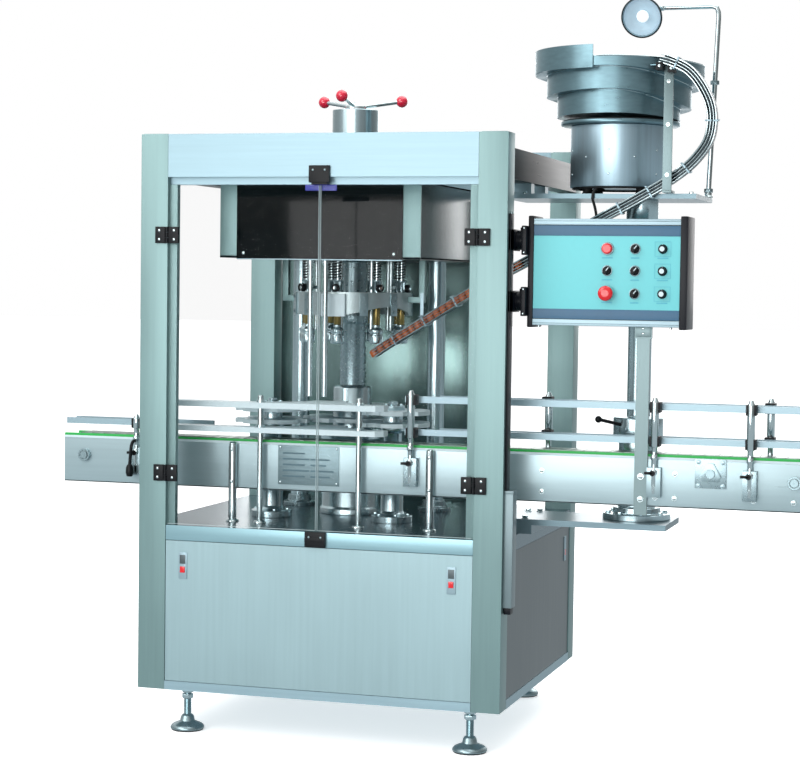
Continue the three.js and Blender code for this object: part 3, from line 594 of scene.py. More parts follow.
# ---- doors ---------------------------------------------------------------------------------
def doors():
    for side, body in ((-1, "left_door"), (1, "right_door")):
        pane_y = (2, 10)
        z0, z1 = sides(body)[4:]
        outer = side * (POST_INNER - 3.5)
        x0, x1 = sorted((outer, side * 3))
        Solid().box(x0, x1, *pane_y, z0, z1, 0.8).piece(f"{body}_pane", "clear", body, "clear_door", [body])
        # The pane edges are lined with whitish strips: painted highlight.
        e0, e1 = sorted((side * 2, side * 3))
        edges = Solid().box(e0, e1, *pane_y, z0, z1, 0.3)
        edges.box(x0 + 1, x1 - 1, *pane_y, z0 - 0.2, z0 + 0.8, 0)
        edges.piece(f"{body}_edge", "edge", body, "clear_door")
        pin = side * POST_INNER
        fixed, moving, screws_fixed, screws_moving = Solid(), Solid(), Solid(), Solid()
        for z in HINGE_Z:
            low, high = z - HINGE_HEIGHT / 2, z + HINGE_HEIGHT / 2
            a0, a1 = sorted((pin + side * 6, pin + side * 36))
            fixed.box(a0, a1, -8, 0.5, low, high, 1.5)
            b0, b1 = sorted((pin - side * 6, pin - side * 36))
            moving.box(b0, b1, -8, 2.5, low, high, 1.5)
            third = HINGE_HEIGHT / 3
            for part, bands in ((fixed, (0, 2)), (moving, (1,))):
                for band in bands:
                    start = low + band * third
                    part.lathe([(0, start + 0.3), (5, start + 0.3), (5, start + third - 0.3), (0, start + third - 0.3)],
                               at(pin, HINGE_PIN_Y, 0), 20, 0.5)
                    reach = 7 if part is fixed else -7
                    w0, w1 = sorted((pin, pin + side * reach))
                    part.box(w0, w1, HINGE_PIN_Y - 1, HINGE_PIN_Y + 4, start + 0.5, start + third - 0.5, 0.4)
            for dz in (-13, 13):
                screws_fixed.screw(facing_front(pin + side * 23, -7.9, z + dz), 4.2)
                screws_moving.screw(facing_front(pin - side * 23, -7.9, z + dz), 4.2)
        fixed.piece(f"{body}_hinge_leaves_fixed", "black", "machine", "black_plastic")
        moving.piece(f"{body}_hinge_leaves", "black", body, "black_plastic")
        screws_fixed.piece(f"{body}_hinge_screws_fixed", "chrome", "machine", "polished_steel")
        screws_moving.piece(f"{body}_hinge_screws", "chrome", body, "polished_steel")


def door_catches():
    top = Solid().box(-31, 31, -9, 0.5, 1609, 1658, 3)
    top.box(-24, 24, -4, 24, 1604, 1612, 1)
    top.piece("top_catch", "black", "machine", "black_plastic")
    low = Solid().box(-31, 31, -9, 3.5, 568.5, 613, 3)
    low.box(-31, 31, -9.8, -7, 584, 596, 1)
    low.piece("bottom_catch", "black", "machine", "black_plastic")
    Solid().box(-47, 47, 10.8, 16, 1587, 1604, 1).piece("catch_striker", "blue", "machine", "black_plastic")
    screws = Solid()
    for z in (1645, 598):
        for x in (-18, 18):
            screws.screw(facing_front(x, -8.8, z), 3.2)
    screws.piece("catch_screws", "steel_even", "machine", "polished_steel")


# ---- conveyor ------------------------------------------------------------------------------
LANE_Y = (BELT_FRONT + BELT_BACK) / 2
DRUM_RADIUS = 67.5
SLAT_PITCH = 38.1
BRACKETS_FRONT = [-631, 232, 944, 1211]
BRACKETS_BACK = [-640, 610, 1250]


def chain_place(distance, left, right, z, radius):
    """Where the belt's mid-line is, that far along it from the left end of its top run, and which way it goes."""
    straight = right - left
    bend = math.pi * radius
    distance %= 2 * (straight + bend)
    if distance < straight:
        return at(left + distance, LANE_Y, z + radius)
    distance -= straight
    if distance < bend:
        return at(right, LANE_Y, z) @ Matrix.Rotation(distance / radius, 4, "Y") @ at(0, 0, radius)
    distance -= bend
    if distance < straight:
        return at(right - distance, LANE_Y, z) @ Matrix.Rotation(math.pi, 4, "Y") @ at(0, 0, radius)
    distance -= straight
    return at(left, LANE_Y, z) @ Matrix.Rotation(math.pi + distance / radius, 4, "Y") @ at(0, 0, radius)


def conveyor():
    wall = 4
    frame_box = Solid()
    frame_box.box(BELT_LEFT, BELT_RIGHT, BELT_FRONT, BELT_FRONT + wall, BELT_BOTTOM, BELT_EDGE, 0.8)
    frame_box.box(BELT_LEFT, BELT_RIGHT, BELT_BACK - wall, BELT_BACK, BELT_BOTTOM, BELT_EDGE, 0.8)
    frame_box.box(BELT_LEFT, BELT_RIGHT, BELT_FRONT, BELT_BACK, BELT_BOTTOM, BELT_BOTTOM + wall, 0.8)
    frame_box.piece("conveyor_box", "belt_side", "machine", "panel_steel", ["conveyor_frame"])
    left = BELT_LEFT + DRUM_RADIUS + 0.6
    right = BELT_RIGHT - DRUM_RADIUS - 0.6
    z = BELT_TOP - DRUM_RADIUS
    radius = DRUM_RADIUS - 2.2
    length = 2 * (right - left) + math.tau * radius
    count = round(length / SLAT_PITCH)
    pitch = length / count
    slats = Solid()
    for k in range(count):
        place = chain_place(k * pitch, left, right, z, radius)
        slats.box(-pitch / 2 + 0.7, pitch / 2 - 0.7, -41, 41, -1.8, 2, 0.6, place)
        slats.box(-6, 6, -14, 14, -4.4, -1.7, 0.6, place)
    slats.piece("belt_slats", "slat", "machine", "polished_steel", ["conveyor_chain"])
    strips = Solid()
    strips.box(BELT_LEFT + 0.5, BELT_RIGHT - 0.5, BELT_FRONT - 0.6, BELT_FRONT + 9, BELT_EDGE - 1, BELT_EDGE + 6, 0.8)
    strips.box(BELT_LEFT + 0.5, BELT_RIGHT - 0.5, BELT_BACK - 9, BELT_BACK + 0.6, BELT_EDGE - 1, BELT_EDGE + 6, 0.8)
    strips.piece("wear_strips", "green", "machine", "guide_plastic")
    # White strips under the green wear strips: painted highlight on the folded top edge of the side plates.
    edges = Solid()
    edges.box(BELT_LEFT + 0.5, BELT_RIGHT - 0.5, BELT_FRONT - 1.2, BELT_FRONT + 1, BELT_EDGE - 8, BELT_EDGE - 1, 0.6)
    edges.box(BELT_LEFT + 0.5, BELT_RIGHT - 0.5, BELT_BACK - 1, BELT_BACK + 1.2, BELT_EDGE - 8, BELT_EDGE - 1, 0.6)
    edges.piece("conveyor_top_edge_painted_highlights", "white", "machine", "guide_plastic")
    for node, x, tail in (("idler_shaft", left, 12), ("drive_shaft", right, 40)):
        place = at(x, 0, z) @ Matrix.Rotation(-math.pi / 2, 4, "X")
        shaft = Solid().lathe([(0, BELT_FRONT - 12), (12, BELT_FRONT - 12), (12, BELT_BACK + tail), (0, BELT_BACK + tail)], place, 32)
        for y in (LANE_Y - 16, LANE_Y + 8):
            teeth = []
            for k in range(24):
                tip = radius - 5 if k % 2 else radius - 12
                teeth += [spot(tip, k * 15 - 4), spot(tip, k * 15 + 4)]
            shaft.prism(teeth, y, y + 8, place, 0.5)
        shaft.piece(f"{node}_sprockets", "steel_even", node, "polished_steel", [node])
        flanges = Solid()
        for face, turn, wide in ((BELT_FRONT, math.pi / 2, 19), (BELT_BACK, -math.pi / 2, 34)):
            spotted = at(x, face, z) @ Matrix.Rotation(turn, 4, "X")
            ring = [(13.5, 0), (wide, 0), (wide, 5), (min(wide, 22), 7), (min(wide, 20), 10), (13.5, 10)]
            flanges.lathe(ring, spotted, 36, 0.5)
            for k in range(3):
                bx, by = spot(wide - 7, 90 + 120 * k)
                flanges.bolt(spotted @ at(bx, by, 4.5), 4.5 if wide > 20 else 1.5, 3.5)
        flanges.piece(f"{node}_bearings", "steel_even", "machine", "polished_steel")


def conveyor_details():
    bearing_x, bearing_z = 1101, 813
    face = BELT_FRONT
    plate = Solid().box(bearing_x - 44, bearing_x + 44, face - 4, face + 0.5, bearing_z - 45, bearing_z + 37, 1.5)
    hub = [spot(31, 90 + 120 * k + swing) for k in range(3) for swing in (-16, 16)]
    plate.prism(hub, 3.5, 10, facing_front(bearing_x, face, bearing_z - 4), 1.5)
    plate.lathe([(0, 9), (13, 9), (13, 15), (0, 15)], facing_front(bearing_x, face, bearing_z - 4), 28)
    for dx in (-34, 34):
        for dz in (-37, 28):
            plate.bolt(facing_front(bearing_x + dx, face - 4, bearing_z + dz), 5, 4)
    plate.piece("bearing_plate", "steel_even", "machine", "polished_steel")
    bolts = Solid()
    for x, z in ((1001, 805), (946, 710 + 26), (1000, 736), (1220, 738), (620, 800), (620, 740), (1330, 738)):
        bolts.bolt(facing_front(x, face, z), 6, 4.5)
        bolts.bolt(at(x, BELT_BACK, z) @ Matrix.Rotation(-math.pi / 2, 4, "X"), 6, 4.5)
    bolts.piece("conveyor_bolts", "chrome", "machine", "polished_steel")
    Solid().box(-180, 10, face - 2.5, face + 0.5, 728, 845, 1).piece("nameplate", "plate", "machine", "panel_steel")
    lines = Solid()
    for row in range(5):
        z = 822 - row * 17
        lines.box(-165, -96 + (row % 2) * 14, face - 3.1, face - 2, z - 3, z + 2, 0.3)
        if row:
            lines.box(-78, -6 - (row % 3) * 12, face - 3.1, face - 2, z - 3, z + 2, 0.3)
    lines.piece("nameplate_blank_fields", "label", "machine", "panel_steel")
    rivets = Solid()
    for x in (-173, 3):
        for z in (735, 838):
            rivets.screw(facing_front(x, face - 2.4, z), 3.6)
    rivets.piece("nameplate_rivets", "chrome", "machine", "polished_steel")


def rail_brackets():
    """Black clamps, turned rods and slotted foot plates over the CAD brackets of the guide rails."""
    for node in ("infeed_front_rail", "infeed_rear_rail", "outfeed_front_rail", "outfeed_rear_rail"):
        finish(node, "trim", 1)
    clamps, rods, plates, levers, pins = Solid(), Solid(), Solid(), Solid(), Solid()
    for side, spots in ((-1, BRACKETS_FRONT), (1, BRACKETS_BACK)):
        wall = BELT_FRONT if side < 0 else BELT_BACK
        mast = wall + side * 14
        outer = wall + side * 21
        for x in spots:
            top_bars = [(886, 904)] if x < 0 else [(886, 904), (981, 1000)]
            for low, high in top_bars:
                y0, y1 = sorted((outer, wall - side * 16.5))
                clamps.box(x - 14.5, x + 14.5, y0, y1, low - 5.5, high + 5.5, 2)
                front = outer
                turn = Matrix.Rotation(math.pi / 2 if side < 0 else -math.pi / 2, 4, "X")
                pins.screw(at(x, front, (low + high) / 2) @ turn, 5)
            tip = top_bars[-1][1] + 10
            profile = [(0, 768), (9, 768), (9, 800), (12, 804), (12, 812), (8, 818), (8, 842), (11, 846), (11, 852),
                       (8, 858), (8, 878), (11, 880)]
            profile += [(11, tip - 6), (8, tip), (5, tip + 8), (0, tip + 8)]
            rods.lathe(profile, at(x, mast, 0), 28, 0.6)
            y0, y1 = sorted((outer, wall + side * 0.05))
            plates.box(x - 20, x + 20, y0, y1, 738, 822, 1.5)
            s0, s1 = sorted((outer - side * 0.5, outer + side * 0.8))
            pins.box(x - 4, x + 4, s0, s1, 748, 800, 0.3)
            l0, l1 = sorted((outer, outer + side * 9))
            levers.lathe([(0, 0), (8, 0), (8, 8), (0, 8)], at(x - 3, outer, 806) @ Matrix.Rotation(
                math.pi / 2 if side < 0 else -math.pi / 2, 4, "X"), 20)
            levers.box(x - 26, x, l0 + 1, l1 - 1, 802, 810, 2)
    clamps.piece("rail_clamps", "black", "machine", "black_plastic")
    rods.piece("rail_rods", "chrome", "machine", "polished_steel")
    plates.piece("rail_foot_plates", "steel_even", "machine", "polished_steel")
    levers.piece("rail_levers", "black", "machine", "black_plastic")
    pins.piece("rail_screws", "chrome", "machine", "polished_steel")
    crank = Solid()
    x = BRACKETS_FRONT[0]
    crank.tube(smooth_line([(x, 150, 842), (x, 138, 842), (x - 2, 130, 832), (x - 6, 130, 796), (x - 8, 130, 772)], 6), 5)
    crank.piece("crank_arm", "black", "machine", "black_plastic")
    Solid().lathe([(0, 0), (9, 0), (12, 12), (11, 28), (7, 36), (0, 38)], at(x - 8, 130, 736), 24, 1.5).piece(
        "crank_grip", "black", "machine", "black_plastic")


# ---- bottle guides and star wheels ---------------------------------------------------------
BOTTLE_RADIUS = 25


BELT_POSTS = [(-320, 850), (291, 848)]
BELT_POST_Y = 164


def bottle_guides():
    finish("bottle_guide", "white", 1.5)
    top = sides("bottle_guide")[5]
    rods, feet_rings = Solid(), Solid()
    for x, y in ((-230, 155), (78, 152)):
        rods.lathe([(0, DECK_TOP + 0.4), (8.6, DECK_TOP + 0.4), (8.6, top), (6, top + 4), (0, top + 4)], at(x, y, 0), 28)
        feet_rings.lathe([(8.7, DECK_TOP), (19, DECK_TOP), (17, DECK_TOP + 6), (8.7, DECK_TOP + 8)], at(x, y, 0), 28, 0.6)
        for z in (896, 970):
            rods.lathe([(8.7, z), (14, z), (14, z + 8), (8.7, z + 8)], at(x, y, 0), 28, 0.6)
    for x, tip in BELT_POSTS:
        y = BELT_POST_Y
        rods.lathe([(0, DECK_TOP + 0.4), (11.6, DECK_TOP + 0.4), (11.6, tip - 5), (7, tip), (0, tip)], at(x, y, 0), 32, 1)
        feet_rings.lathe([(11.7, DECK_TOP), (20, DECK_TOP), (18, DECK_TOP + 5), (11.7, DECK_TOP + 7)], at(x, y, 0), 28, 0.6)
        for z in (tip - 22, tip - 118):
            feet_rings.screw(facing_front(x, y - 11.3, z), 5)
    rods.piece("guide_rods", "chrome", "machine", "polished_steel")
    feet_rings.piece("guide_rod_feet", "chrome", "machine", "polished_steel")
    slots = Solid()
    for x, tip in BELT_POSTS:
        for edge in (-9.5, 9.5):
            slots.box(x + edge - 0.8, x + edge + 0.8, BELT_POST_Y - 7.6, BELT_POST_Y - 5, DECK_TOP + 12, tip - 14, 0.3)
    slots.piece("conveyor_post_edges", "chute", "machine", "panel_steel")


def star_outline(outer, pitch, pockets, turn):
    pocket = BOTTLE_RADIUS + 1
    opening = math.acos((pitch ** 2 + pocket ** 2 - outer ** 2) / (2 * pitch * pocket))
    half = math.asin(pocket * math.sin(opening) / outer)
    step_angle = math.tau / pockets
    points = []
    for k in range(pockets):
        angle = turn + k * step_angle
        for step in range(15):
            swing = angle + math.pi + opening - step * opening / 7
            points.append((pitch * math.cos(angle) + pocket * math.cos(swing), pitch * math.sin(angle) + pocket * math.sin(swing)))
        for step in range(1, 6):
            rim = angle + half + (step_angle - 2 * half) * step / 6
            points.append((outer * math.cos(rim), outer * math.sin(rim)))
    return points


TURRET_PITCH = 155.0
STAR_PITCH = 116.25
HEADS = 8
STAR_POCKETS = 6

STAR_LEVELS = (900, 936)
STAR_THICK = 12


def star_wheels():
    for body, facing in (("left_star", math.pi / 4), ("right_star", 3 * math.pi / 4)):
        x, y = axis_of(body)
        turn = facing
        discs = Solid()
        for z in STAR_LEVELS:
            discs.prism(star_outline(STAR_PITCH - 3, STAR_PITCH, STAR_POCKETS, turn), z, z + STAR_THICK, at(x, y, 0), 1)
        discs.piece(f"{body}_discs", "white", body, "guide_plastic", [body])
        hub = Solid().lathe([
            (0, DECK_TOP + 0.4), (62, DECK_TOP + 0.4), (62, DECK_TOP + 20), (40, DECK_TOP + 26), (34, DECK_TOP + 34),
            (34, 780), (28, 786), (28, 880), (38, 886), (38, 899), (30, 912), (30, 935), (36, 948), (36, 962), (14, 966),
            (14, 974), (0, 974)], at(x, y, 0), 44, 1)
        for k in range(3):
            bx, by = spot(26, 120 * k, x, y)
            hub.bolt(at(bx, by, 962), 5, 5)
        for k in range(6):
            bx, by = spot(51, 60 * k, x, y)
            hub.bolt(at(bx, by, DECK_TOP + 20), 6, 6)
        hub.piece(f"{body}_hub", "steel", body, "polished_steel", [body])


def turret():
    discs = Solid()
    turn = -math.pi / 4
    for z in STAR_LEVELS:
        discs.prism(star_outline(TURRET_PITCH - 3, TURRET_PITCH, HEADS, turn), z, z + STAR_THICK, at(TURRET_X, TURRET_Y, 0), 1)
    discs.piece("turret_star_discs", "white", "turret", "guide_plastic", ["turret"])
    drum = Solid().lathe([
        (0, DECK_TOP + 0.4), (98, DECK_TOP + 0.4), (98, DECK_TOP + 18), (92, DECK_TOP + 24), (92, 838), (98, 846), (98, 868),
        (64, 872), (60, 880), (60, 1002), (54, 1008), (0, 1008)], at(TURRET_X, TURRET_Y, 0), 64, 1.2)
    for k in range(8):
        bx, by = spot(80, 45 * k + 10, TURRET_X, TURRET_Y)
        drum.bolt(at(bx, by, 868), 6, 6)
    drum.piece("turret_drum", "steel", "turret", "polished_steel", ["turret"])


# ---- capping head --------------------------------------------------------------------------
HEAD_X0, HEAD_X1 = TURRET_X - 312, TURRET_X + 312
HEAD_FRONT, HEAD_BACK = 200, 840
HEAD_BOTTOM, HEAD_TOP = 1397, 1624
FLANGE = 54
CAM_BOTTOM, CAM_TOP = 1225, 1298
HUB_TOP = sides("head_housing")[5]


def head_housing():
    skin = 6
    # The head's side and top walls take the dark steel: painted shade.
    walls = Solid()
    walls.box(HEAD_X0, HEAD_X0 + skin, HEAD_FRONT + skin, HEAD_BACK, HEAD_BOTTOM, HEAD_TOP, 1)
    walls.box(HEAD_X1 - skin, HEAD_X1, HEAD_FRONT + skin, HEAD_BACK, HEAD_BOTTOM, HEAD_TOP, 1)
    walls.box(HEAD_X0, HEAD_X1, HEAD_FRONT, HEAD_BACK, HEAD_TOP - skin, HEAD_TOP, 1)
    walls.piece("head_walls", "head_painted_shade", "head", "dark_cover", ["head_housing"])
    shell = Solid()
    for x0, x1 in ((HEAD_X0, HEAD_X0 + FLANGE), (HEAD_X1 - FLANGE, HEAD_X1)):
        shell.box(x0, x1, HEAD_FRONT, HEAD_FRONT + skin, HEAD_BOTTOM, HEAD_TOP, 1)
    shell.piece("head_flanges", "frame", "head", "frame_steel", ["head_housing"])
    ring = [(192 * math.cos(k * math.tau / 64), 192 * math.sin(k * math.tau / 64)) for k in range(65)]
    floor = Solid()
    half = (HEAD_X1 - HEAD_X0) / 2
    front, back = HEAD_FRONT - TURRET_Y, HEAD_BACK - TURRET_Y
    for sign in (-1, 1):
        arc = [(x, y) for x, y in ring if sign * x >= -0.001]
        arc.sort(key=lambda p: p[1])
        outline = [(0, front)] + [(sign * half, front), (sign * half, back), (0, back)] + arc[::-1]
        floor.prism(outline, HEAD_BOTTOM, HEAD_BOTTOM + skin, at(TURRET_X, TURRET_Y, 0))
    floor.piece("head_floor", "chute", "head", "dark_cover", ["head_housing"])
    Solid().box(HEAD_X0 + FLANGE, HEAD_X1 - FLANGE, HEAD_FRONT - 3, HEAD_FRONT + 4, HEAD_BOTTOM - 3, HEAD_TOP, 1).piece(
        "head_front_plate", "black_gloss", "head", "dark_cover", ["head_housing"])
    Solid().box(HEAD_X0 + FLANGE + 1, HEAD_X1 - FLANGE - 1, HEAD_FRONT - 3.6, HEAD_FRONT + 2, HEAD_BOTTOM - 5, HEAD_BOTTOM - 2, 0.5).piece(
        "head_plate_edge", "trim", "head", "panel_steel")
    screws = Solid()
    for x in (HEAD_X0 + FLANGE + 22, HEAD_X1 - FLANGE - 26):
        screws.screw(facing_front(x, HEAD_FRONT - 3, 1411), 5)
    screws.piece("head_plate_screws", "chrome", "head", "polished_steel")
    tower = Solid().lathe([(0, HEAD_TOP - 1), (72, HEAD_TOP - 1), (72, HUB_TOP), (30, HUB_TOP), (0, HUB_TOP)],
                          at(TURRET_X, TURRET_Y, 0), 64, 1.5)
    tower.piece("hub_tower", "steel", "head", "polished_steel", ["head_housing"])
    columns = Solid()
    bottom = sides("head_housing")[4]
    for side in (-1, 1):
        columns.lathe([(0, bottom), (28, bottom), (28, HEAD_BOTTOM), (0, HEAD_BOTTOM)],
                      at(TURRET_X + side * 225, 690, 0), 40, 1)
    columns.piece("guide_columns", "steel", "head", "polished_steel", ["head_housing"])
    bushes = Solid()
    for side in (-1, 1):
        ring = [(29, DECK_TOP), (52, DECK_TOP), (52, DECK_TOP + 12), (38, DECK_TOP + 16), (36, DECK_TOP + 34), (29, DECK_TOP + 34)]
        bushes.lathe(ring, at(TURRET_X + side * 225, 690, 0), 40, 1)
    bushes.piece("column_bushes", "steel_even", "machine", "polished_steel")
    rods = Solid()
    for x in (-129, -82):
        rods.lathe([(0, 984), (8, 984), (8, HEAD_BOTTOM - 1), (0, HEAD_BOTTOM - 1)], at(x, 300, 0), 28, 1)
        rods.lathe([(0, HEAD_BOTTOM - 14), (13, HEAD_BOTTOM - 14), (13, HEAD_BOTTOM), (0, HEAD_BOTTOM)], at(x, 300, 0), 28, 1)
    rods.piece("gauge_rods", "chrome", "head", "polished_steel")


def cam_ring():
    """A ring whose upper edge falls on one side: the rollers run on it."""
    steps = 96
    inner, outer = 170, 180
    bm = Solid()
    rings = []
    for k in range(steps):
        degrees = 360 * k / steps
        fall = max(0.0, math.sin(math.radians((degrees - 270) * 180 / 110))) if 270 < degrees < 360 else 0
        low = CAM_BOTTOM + 3 + 26 * fall * fall
        x, y = math.cos(math.radians(degrees)), math.sin(math.radians(degrees))
        rings.append([bm.bm.verts.new((TURRET_X + r * x, TURRET_Y + r * y, z))
                      for r, z in ((inner, low), (outer, low), (outer, CAM_TOP), (inner, CAM_TOP))])
    for k, ring in enumerate(rings):
        after = rings[(k + 1) % steps]
        for j in range(4):
            bm.bm.faces.new((ring[j], ring[(j + 1) % 4], after[(j + 1) % 4], after[j]))
    bm.piece("cam_track", "cam", "head", "polished_steel", ["cam_ring"])
    block = Solid()
    for k in range(-3, 4):
        angle = -90 + k * 3
        bx, by = spot(192, angle, TURRET_X, TURRET_Y)
        block.box(-6, 6, -12, 12, CAM_BOTTOM, CAM_TOP - 6, 1, at(bx, by, 0) @ Matrix.Rotation(math.radians(angle + 90), 4, "Z"))
    block.piece("cam_block", "white", "head", "guide_plastic", ["cam_ring"])
    hangers = Solid()
    for side in (-1, 1):
        x = TURRET_X + side * 222
        hangers.box(x - 9, x + 9, TURRET_Y - 9, TURRET_Y + 9, CAM_TOP - 30, HEAD_BOTTOM, 1.5)
        x0, x1 = sorted((TURRET_X + side * 174, x))
        hangers.box(x0, x1, TURRET_Y - 12, TURRET_Y + 12, CAM_TOP - 30, CAM_TOP - 12, 1.5)
        hangers.bolt(at(x, TURRET_Y, CAM_TOP - 12), 6, 6)
    hangers.piece("cam_hangers", "frame", "head", "frame_steel", ["cam_ring"])
    clamps = Solid()
    for degrees in (-122, -62, -150, -30, 30, 150):
        cx, cy = spot(181, degrees, TURRET_X, TURRET_Y)
        place = at(cx, cy, 0) @ Matrix.Rotation(math.radians(degrees + 90), 4, "Z")
        clamps.box(-13, 13, -4, 4, CAM_BOTTOM + 2, CAM_TOP - 2, 1, place)
        for z in (CAM_BOTTOM + 14, CAM_TOP - 14):
            clamps.bolt(place @ facing_front(0, -4, z), 4.5, 4)
    clamps.piece("cam_joint_plates", "steel_even", "head", "polished_steel")


def head_angles():
    return [-45 + k * 360 / HEADS for k in range(HEADS)]


def spindle_carrier():
    low, high = 1406, 1426
    disc = Solid().lathe([(0, low), (186, low), (186, high), (0, high)], at(TURRET_X, TURRET_Y, 0), 64, 1.5)
    disc.lathe([(0, 1010), (40, 1010), (40, 1200), (46, 1206), (46, 1240), (40, 1246), (40, 1390), (60, 1398), (60, low + 1), (0, low + 1)],
               at(TURRET_X, TURRET_Y, 0), 48, 1.2)
    disc.piece("carrier_disc", "steel_even", "spindle_carrier", "polished_steel", ["spindle_carrier"])
    springs, sleeves, rollers, pins, rods = Solid(), Solid(), Solid(), Solid(), Solid()
    for degrees in head_angles():
        x, y = spot(TURRET_PITCH, degrees, TURRET_X, TURRET_Y)
        turns, per_turn = 8, 14
        start, end = 1337, 1404
        coil = [(x + 11.5 * math.cos(k * math.tau / per_turn), y + 11.5 * math.sin(k * math.tau / per_turn),
                 start + (end - start) * k / (turns * per_turn)) for k in range(turns * per_turn + 1)]
        springs.tube(coil, 1.7, 8)
        sleeves.lathe([(8.3, 1300), (13, 1300), (13, 1328), (15, 1330), (15, 1335), (8.3, 1335)], at(x, y, 0), 28, 0.6)
        turn = math.radians(degrees)
        outward = at(x, y, 1311) @ Matrix.Rotation(turn, 4, "Z") @ Matrix.Rotation(math.pi / 2, 4, "Y")
        sleeves.box(-12, 12, -10, 12, -13, 13, 1.5, at(x, y, 1318) @ Matrix.Rotation(turn, 4, "Z"))
        rollers.lathe([(0, 13), (12, 13), (12, 25), (0, 25)], outward, 32, 1)
        pins.lathe([(0, 25), (6, 25), (6, 28), (0, 28)], outward, 24, 0.8)
        gx, gy = spot(TURRET_PITCH - 34, degrees, TURRET_X, TURRET_Y)
        rods.lathe([(0, 1180), (7, 1180), (7, low), (0, low)], at(gx, gy, 0), 20, 1)
        sleeves.box(-30, 0, -6, 6, -5, 5, 1, at(x, y, 1312) @ Matrix.Rotation(turn, 4, "Z"))
    springs.piece("spindle_springs", "black", "spindle_carrier", "dark_cover")
    sleeves.piece("spindle_slides", "steel_even", "spindle_carrier", "polished_steel")
    rollers.piece("cam_rollers", "black", "spindle_carrier", "black_plastic")
    pins.piece("roller_pins", "chrome", "spindle_carrier", "polished_steel")
    rods.piece("spindle_guide_rods", "chrome", "spindle_carrier", "polished_steel")


def spindles():
    for k in range(1, HEADS + 1):
        node = f"spindle_{k}"
        x, y = axis_of(node)
        bottom, top = sides(node)[4:]
        rod = Solid().lathe([(0, bottom + 46), (7, bottom + 46), (7, top), (0, top)], at(x, y, 0), 24, 0.8)
        rod.piece(f"{node}_rod", "chrome", node, "polished_steel", [node])
        sleeve = Solid().lathe([(7.2, bottom + 56), (11, bottom + 58), (11, bottom + 110), (8, bottom + 116), (7.2, bottom + 116)],
                               at(x, y, 0), 28, 0.6)
        sleeve.piece(f"{node}_sleeve", "brass", node, "chuck_brass", [node])
        chuck = Solid().lathe([
            (0, bottom + 20), (14, bottom + 20), (16, bottom), (19, bottom), (21, bottom + 4), (21, bottom + 26), (19, bottom + 28),
            (19, bottom + 32), (21, bottom + 34), (21, bottom + 42), (12, bottom + 50), (12, bottom + 57), (0, bottom + 57)],
            at(x, y, 0), 36, 0.6)
        for j in range(6):
            bx, by = spot(20.4, 60 * j, x, y)
            chuck.box(-2, 2, -1, 1, bottom + 6, bottom + 24, 0.5, at(bx, by, 0) @ Matrix.Rotation(math.radians(60 * j + 90), 4, "Z"))
        chuck.piece(f"{node}_chuck", "steel", node, "polished_steel", [node])


def handwheel():
    hub_z = sides("handwheel")[4]
    tip_z = hub_z + 32
    hub = Solid().lathe([(0, hub_z), (34, hub_z), (34, hub_z + 12), (26, hub_z + 18), (20, hub_z + 22), (12, hub_z + 25), (0, hub_z + 26)],
                        at(TURRET_X, TURRET_Y, 0), 40, 1.2)
    balls = Solid()
    for degrees in (151, 271, 31):
        x, y = spot(146, degrees, TURRET_X, TURRET_Y)
        start = spot(14, degrees, TURRET_X, TURRET_Y)
        hub.tube([(*start, hub_z + 10), (x, y, tip_z)], 6, 20)
        balls.ball((x, y, tip_z), 18.5)
    hub.piece("handwheel_hub", "chrome", "handwheel", "polished_steel", ["handwheel"])
    balls.piece("handwheel_balls", "ball", "handwheel", "red_plastic", ["handwheel"])


# ---- feeder support ------------------------------------------------------------------------
def feeder_support():
    finish("support_bracket", "rack", 1.5)
    finish("feeder_platform", "rack", 1.2)
    finish("panel_bar", "bar", 1.2)
    low, high = sides("support_column")[4:]
    column = Solid().lathe([
        (0, low), (98, low), (98, low + 17), (70, low + 18), (68, low + 34), (55, low + 36), (55, 884), (70, 886), (72, 890),
        (72, 946), (70, 950), (35, 952), (34, 956), (34, 1506), (46, 1514), (46, high), (0, high)], at(COLUMN_X, COLUMN_Y, 0), 56, 1)
    for k in range(8):
        bx, by = spot(83, 45 * k + 20, COLUMN_X, COLUMN_Y)
        column.bolt(at(bx, by, low + 17), 7.5, 7)
    for degrees in (-110, -70):
        place = at(COLUMN_X, COLUMN_Y, 918) @ Matrix.Rotation(math.radians(degrees + 90), 4, "Z") @ facing_front(0, -71.5, 0)
        column.bolt(place, 6, 5)
    column.piece("support_column_turned", "steel", "machine", "panel_steel", ["support_column"])
    lever = Solid().tube([(COLUMN_X - 40, COLUMN_Y - 58, 930), (COLUMN_X - 96, COLUMN_Y - 84, 944)], 5)
    lever.ball((COLUMN_X - 100, COLUMN_Y - 86, 945), 10)
    lever.piece("column_clamp_lever", "black", "machine", "black_plastic")
    x0, x1, y0, y1, _, top = sides("support_bracket")
    bolts = Solid()
    for x in (525, 560):
        for y in (y0 + 22, y1 - 22):
            bolts.bolt(at(x, y, top), 8, 8)
    x0, x1, y0, y1, low, high = sides("feeder_platform")
    plate_top = 1590
    for x in (x0 + 14, x0 + 66, x1 - 16):
        for y in (y0 + 16, y1 - 16):
            bolts.bolt(at(x, y, plate_top), 6, 6)
    for z in (731, 795):
        bolts.bolt(facing_front(905.5, BELT_FRONT - 10, z), 7, 5)
    for z in (1196, 1210):
        bolts.screw(facing_front(905.5, BELT_FRONT - 13, z), 4)
    bolts.piece("support_bolts", "chrome", "machine", "polished_steel")
    clamp = Solid().box(884, 928, BELT_FRONT - 14.5, BELT_FRONT + 1, 1186, 1221, 2)
    clamp.piece("panel_bar_clamp", "bar", "machine", "polished_steel")


